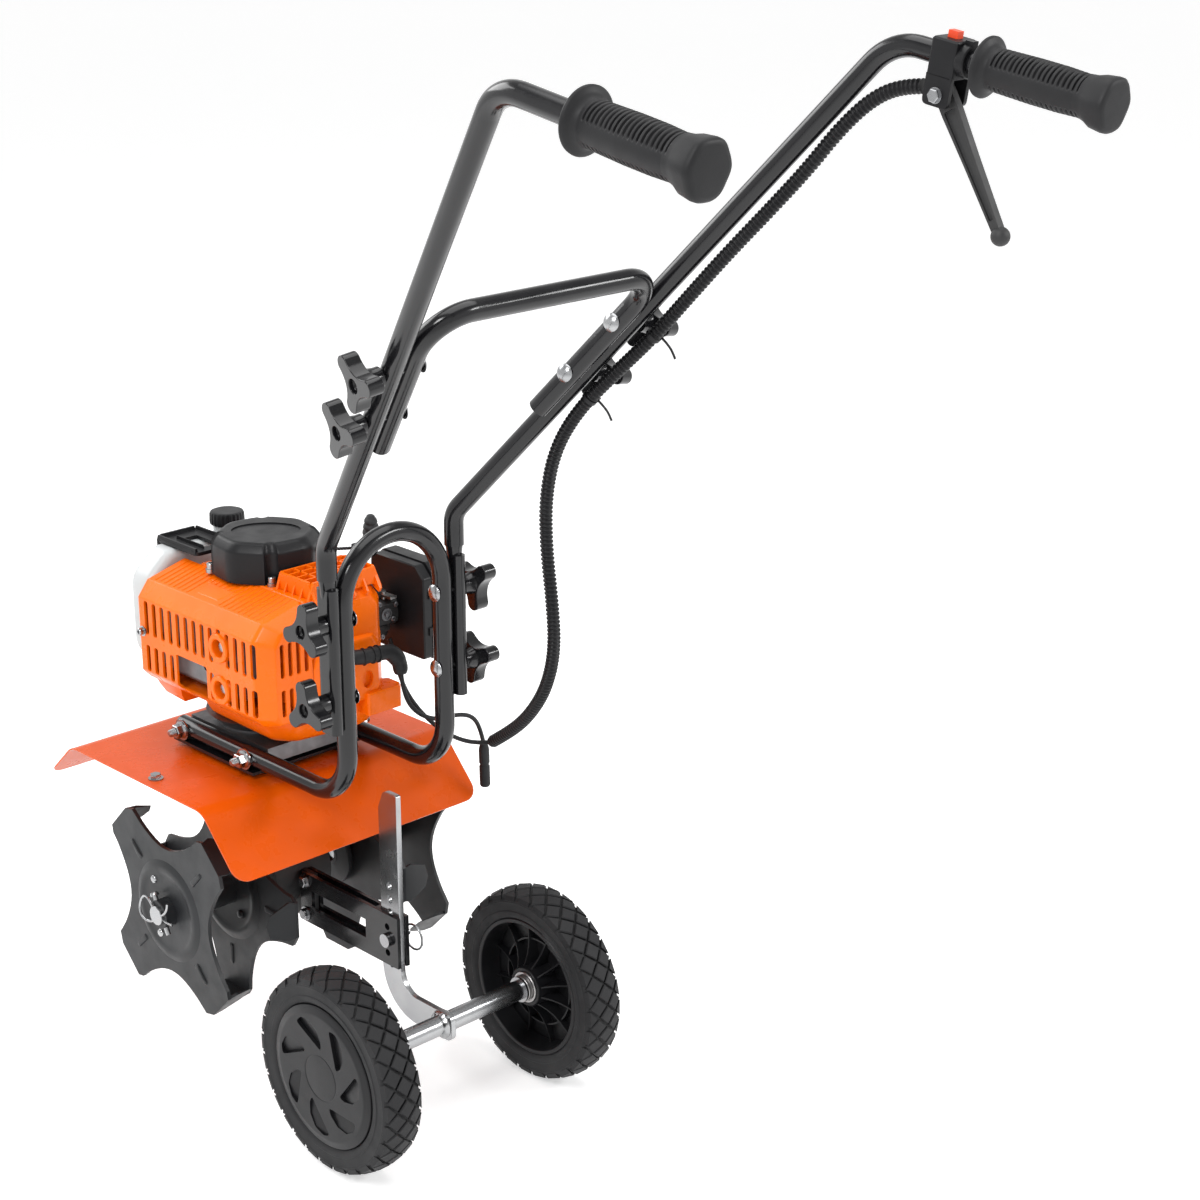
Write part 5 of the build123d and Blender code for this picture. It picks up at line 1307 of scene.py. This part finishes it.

# ---------------------------------------------------------------- depth bar and axle
BAR_Y, BAR_W, BAR_HALF = -175.0, 28.0, 3.0                      # y past the tine axis
BAR_TOP = high("depth_bar").z
AXLE_BACK = AXLE.y - ROTOR.y
HOLE_PITCH, HOLE_R = 14.0, 3.5


WELD_LEVELS = ((-0.6, 14.2, 0), (0.5, 14.0, 0.45), (2.6, 12.2, 0.45), (4.4, 10.2, 0.45), (4.6, 9.6, 0))


def rippled(reach, ripple):
    """A circle with a small ripple, as the edge of a weld."""
    return [polar(reach + ripple * math.sin(math.radians(45 * k)), 6 * k) for k in range(60)]


def arc(centre, radius, start, end, steps):
    """Points along an arc, from one angle to another."""
    steps_round = [polar(radius, start + (end - start) * k / steps) for k in range(steps + 1)]
    return [(centre[0] + x, centre[1] + y) for x, y in steps_round]


bar_front, bar_rear = BAR_Y + BAR_W / 2, BAR_Y - BAR_W / 2
foot_low, foot_high = WHEEL_R - 14, WHEEL_R + 14
tail = AXLE_BACK - 16
bar_outline = [(bar_rear + 1.5, BAR_TOP), (bar_front - 13, BAR_TOP),
               *arc((bar_front - 13, BAR_TOP - 8), 8, 90, 40, 4), (bar_front, BAR_TOP - 19),
               *arc((bar_front - 50, foot_low + 50), 50, 0, -90, 16),
               *arc((tail + 8, foot_low + 8), 8, 270, 180, 5), *arc((tail + 8, foot_high - 8), 8, 180, 90, 5),
               *arc((bar_rear - 22, foot_high + 22), 22, -90, 0, 10), (bar_rear, BAR_TOP - 1.5)]
bar_bm = bmesh.new()
prism(bar_bm, bar_outline, -BAR_HALF, BAR_HALF, SIDE_ON)
bar_piece = solid("bar_blank", bar_bm)
bores = bmesh.new()
for step in range(-2, 5):
    cylinder(bores, HOLE_R, -9, 9, SIDE_ON @ Matrix.Translation((BAR_Y, PIN_Z + step * HOLE_PITCH, 0)), 28)
cut(bar_piece, bores)
soften(bar_piece, 0.6, 2, 40)
bar_bm = reopened(bar_piece)
for side_sign in (-1, 1):                                        # weld fillets round the axle
    weld = side_frame(side_sign, BAR_HALF, AXLE.y, WHEEL_R)
    loft(bar_bm, [(rippled(reach, ripple), height) for height, reach, ripple in WELD_LEVELS], weld)
settle(solid("galvanised_depth_bar", bar_bm), "zinc", "wheel_carriage", ["depth_bar"], 35)

axle_bm = bmesh.new()
axle_end = high("wheel_axle").x
axle_place = frame_at((0, AXLE.y, WHEEL_R), (1, 0, 0), (0, 1, 0))
lathe(axle_bm, ((0, -axle_end), (8.8, -axle_end), (10, -axle_end + 1.2), (10, axle_end - 1.2),
                (8.8, axle_end), (0, axle_end)), axle_place, 48)
for side_sign in (-1, 1):
    ring_place = side_frame(side_sign, 99.4, AXLE.y, WHEEL_R)
    lathe(axle_bm, ((9.8, -0.8), (13.0, -0.8), (13.0, 0.8), (9.8, 0.8)), ring_place, 36)
settle(solid("wheel_axle_rod", axle_bm), "zinc", "wheel_carriage", ["wheel_axle"], 35)

# ---------------------------------------------------------------- conduit, cables, throttle perch and lever
CONDUIT_R = 6.5
CONDUIT_ROUTE = ((214, -618, 1009.5), (211, -598, 1008), (206, -572, 996), (199, -545, 970), (190, -519, 935),
                 (179, -486, 897), (166, -452, 858), (154, -418, 817), (143, -385, 777), (131, -349, 740),
                 (119, -315, 703), (113, -290, 662), (112, -278, 613), (114, -277, 562), (117, -281, 512),
                 (121, -280, 464), (127, -262, 419), (133, -232, 381), (139, -197, 351), (144, -162, 328))
CABLE_ROUTE = ((144.5, -160, 327), (134, -146, 324), (114, -132, 334), (98, -116, 352), (87, -100, 376),
               (82, -92, 402), (80, -88, 424), (79, -84, 433.9))
LEAD_ROUTE = ((50, -136.6, 420), (51, -138, 400), (60, -142, 378), (82, -148, 364), (108, -150, 364),
              (130, -148, 356), (144, -144, 338), (150, -142, 318))


def route_line(route):
    """Points read from one smooth curve through a given route."""
    data = bpy.data.curves.new("route", "CURVE")
    data.dimensions = "3D"
    data.resolution_u = 14
    line = data.splines.new("NURBS")
    line.points.add(len(route) - 1)
    for point, (x, y, z) in zip(line.points, route):
        point.co = (x * MM, (y + ROTOR.y) * MM, z * MM, 1.0)
    line.order_u = 3
    line.use_endpoint_u = True
    piece = bpy.data.objects.new("route", data)
    bpy.context.scene.collection.objects.link(piece)
    made = bpy.data.meshes.new_from_object(piece.evaluated_get(bpy.context.evaluated_depsgraph_get()))
    points = [v.co / MM for v in made.vertices]
    bpy.data.objects.remove(piece)
    return points


def evenly(points, step):
    """The same line with points at equal steps."""
    made, carry = [points[0]], 0.0
    for a, b in zip(points, points[1:]):
        length = (b - a).length
        while carry + length >= step:
            a = a.lerp(b, (step - carry) / length)
            length = (b - a).length
            made.append(a)
            carry = 0.0
        carry += length
    return made


conduit = bmesh.new()
CONDUIT_STEP, CONDUIT_PITCH, CONDUIT_DEPTH = 0.6, 4.2, 1.7
conduit_line = evenly(route_line(CONDUIT_ROUTE), CONDUIT_STEP)
waves = (2 * math.pi * i * CONDUIT_STEP / CONDUIT_PITCH for i in range(len(conduit_line)))
hose(conduit, conduit_line, [CONDUIT_R - CONDUIT_DEPTH * (0.5 - 0.5 * math.cos(t)) ** 1.6 for t in waves], 20)
settle(solid("corrugated_conduit", conduit), "black_plastic", "chassis", ["wiring_conduit"], 60)
tie = bmesh.new()
tie_index = int(0.49 * len(conduit_line))
for index in (tie_index - 150, tie_index):
    tie_frame = frame_at(conduit_line[index], conduit_line[index + 3] - conduit_line[index])
    lathe(tie, ((6.3, -1.8), (7.4, -1.8), (7.4, 1.8), (6.3, 1.8)), tie_frame, 36)
    box(tie, (6.8, -3, -2.6), (11.5, 3, 2.6), tie_frame)
    tail = [tie_frame @ Vector(p) for p in ((9, 2, 0), (11, 8, 0), (15, 15, 2), (17, 23, 5))]
    hose(tie, smooth_line(tail, 4), 1.1, 8)
settle(solid("conduit_ties", tie), "black_plastic", "chassis", (), 40)
cables = bmesh.new()
for route in (CABLE_ROUTE, LEAD_ROUTE):
    hose(cables, route_line(route), 2.2, 14)
joint_place = engine_frame((150, -142, 317.9), Vector((1, 0, -45.9)), (0, 1, 0))
lathe(cables, ((0, -2), (3.2, -2), (4.6, 2), (5.4, 6), (5.4, 20), (4.6, 21), (4.6, 23), (5.4, 24),
               (5.4, 44), (4.4, 45.9), (0, 45.9)), joint_place, 28)
settle(solid("throttle_cable_and_lead", cables), "black_rubber", "chassis", ["engine_cables"], 50)

BAR_RUN = (BAR_END - BAR_BEND_2).normalized()
PERCH_SIDE = Vector((-BAR_RUN.y, BAR_RUN.x, 0)).normalized()
PERCH_DOWN = PERCH_SIDE.cross(BAR_RUN)
PERCH_AT = BAR_BEND_2.lerp(BAR_END, 0.276)
PERCH = frame_at(PERCH_AT, -PERCH_DOWN, PERCH_SIDE)             # x outward, y forward, z up
perch = bmesh.new()
shell_outline = rounded([(-13.3, -12.8), (13.3, -12.8), (13.3, 12.8), (-13.3, 12.8)], 2.4, 3)
loft(perch, ((scaled(shell_outline, 0.94), -16), (shell_outline, -15), (shell_outline, 13.4),
             (scaled(shell_outline, 0.9), 15)), PERCH)
for aside in (-1, 1):
    cheek = rounded([(-12.6, -39), (12.6, -39), (12.6, -14), (-12.6, -14)], (5, 5, 0, 0), 4)
    cheek_place = PERCH @ frame_at((aside * 11.2, 0, 0), (1, 0, 0), (0, 1, 0))
    prism(perch, cheek, -2.1, 2.1, cheek_place)
box(perch, (-12, 9.2, -38), (12, 12.6, -14), PERCH)
perch_shell = soften(solid("perch_shell", perch), 0.7, 2, 45)
perch = reopened(perch_shell)
clamp_place = PERCH @ frame_at((0, -12.8, 0), (0, -1, 0), (1, 0, 0))
lathe(perch, ((9.6, -1), (13.2, -1), (13.6, 0), (13.6, 6.4), (12.8, 7.4), (9.6, 7.4)), clamp_place, 40)
box(perch, (-4, -20, 11.5), (4, -13, 16.4), PERCH)
settle(solid("perch_housing", perch), "black_plastic", "chassis", ["throttle_perch"], 35)
chrome = bmesh.new()
for aside in (-1, 1):
    pivot_place = frame_at(pivot("throttle_squeeze") + PERCH_SIDE * 13.3 * aside, PERCH_SIDE * aside, BAR_RUN)
    hex_head(chrome, pivot_place, 10, 0, 4.6)
    cylinder(chrome, 6.6, 0, 0.9, pivot_place, 28)
barrel_place = PERCH @ frame_at((0, 12.6, -29), (0, 1, 0), (1, 0, 0))
lathe(chrome, ((0, -3), (5.8, -3), (5.8, 3), (4.2, 3.6), (4.2, 6), (0, 6)), barrel_place, 28)
settle(solid("perch_screws_and_barrel", chrome), "zinc", "chassis", (), 30)

LEVER_RUN = (BAR_RUN * 0.62 + PERCH_DOWN * 0.785).normalized()
LEVER = frame_at(pivot("throttle_squeeze"), PERCH_SIDE, LEVER_RUN)
lever = bmesh.new()
lever_outline = rounded([(-9, -9), (16, -9), (60, -6.6), (118, -4.2), (118, 4.2), (60, 6.2), (16, 8.5),
                         (-9, 8.5)], (7, 12, 30, 3, 3, 30, 12, 7), 5)
prism(lever, lever_outline, -4, 4, LEVER)
lever_piece = solid("lever_blank", lever)
pockets = bmesh.new()
pocket = rounded([(14, -5.8), (60, -4.2), (108, -2.2), (108, 2.2), (60, 3.8), (14, 5.4)],
                 (2, 20, 1.6, 1.6, 20, 2), 4)
prism(pockets, pocket, 1.6, 9, LEVER)
prism(pockets, pocket, -9, -1.6, LEVER)
cut(lever_piece, pockets)
soften(lever_piece, 0.7, 2, 40)
lever = reopened(lever_piece)
ball_place = LEVER @ frame_at((122, 0, 0), (1, 0, 0), (0, 1, 0))
lathe(lever, [(max(8 * math.sin(math.radians(12 * k)), 0), -8 * math.cos(math.radians(12 * k)))
              for k in range(16)], ball_place, 32)
settle(solid("throttle_lever_blade", lever), "black_cast", "throttle_lever", ["throttle_lever"], 40)

# bevelled edges on the CAD plates that stay in view
for node in ("drag_bracket", "mounting_plate", "hitch_pin_and_ring", "kill_switch", "throttle_arm"):
    edge = frame["nodes"][node].modifiers.new("edge", "BEVEL")
    edge.width, edge.segments, edge.limit_method = 0.5 * MM, 2, "ANGLE"
    edge.angle_limit = math.radians(50)
    edge.use_clamp_overlap = True
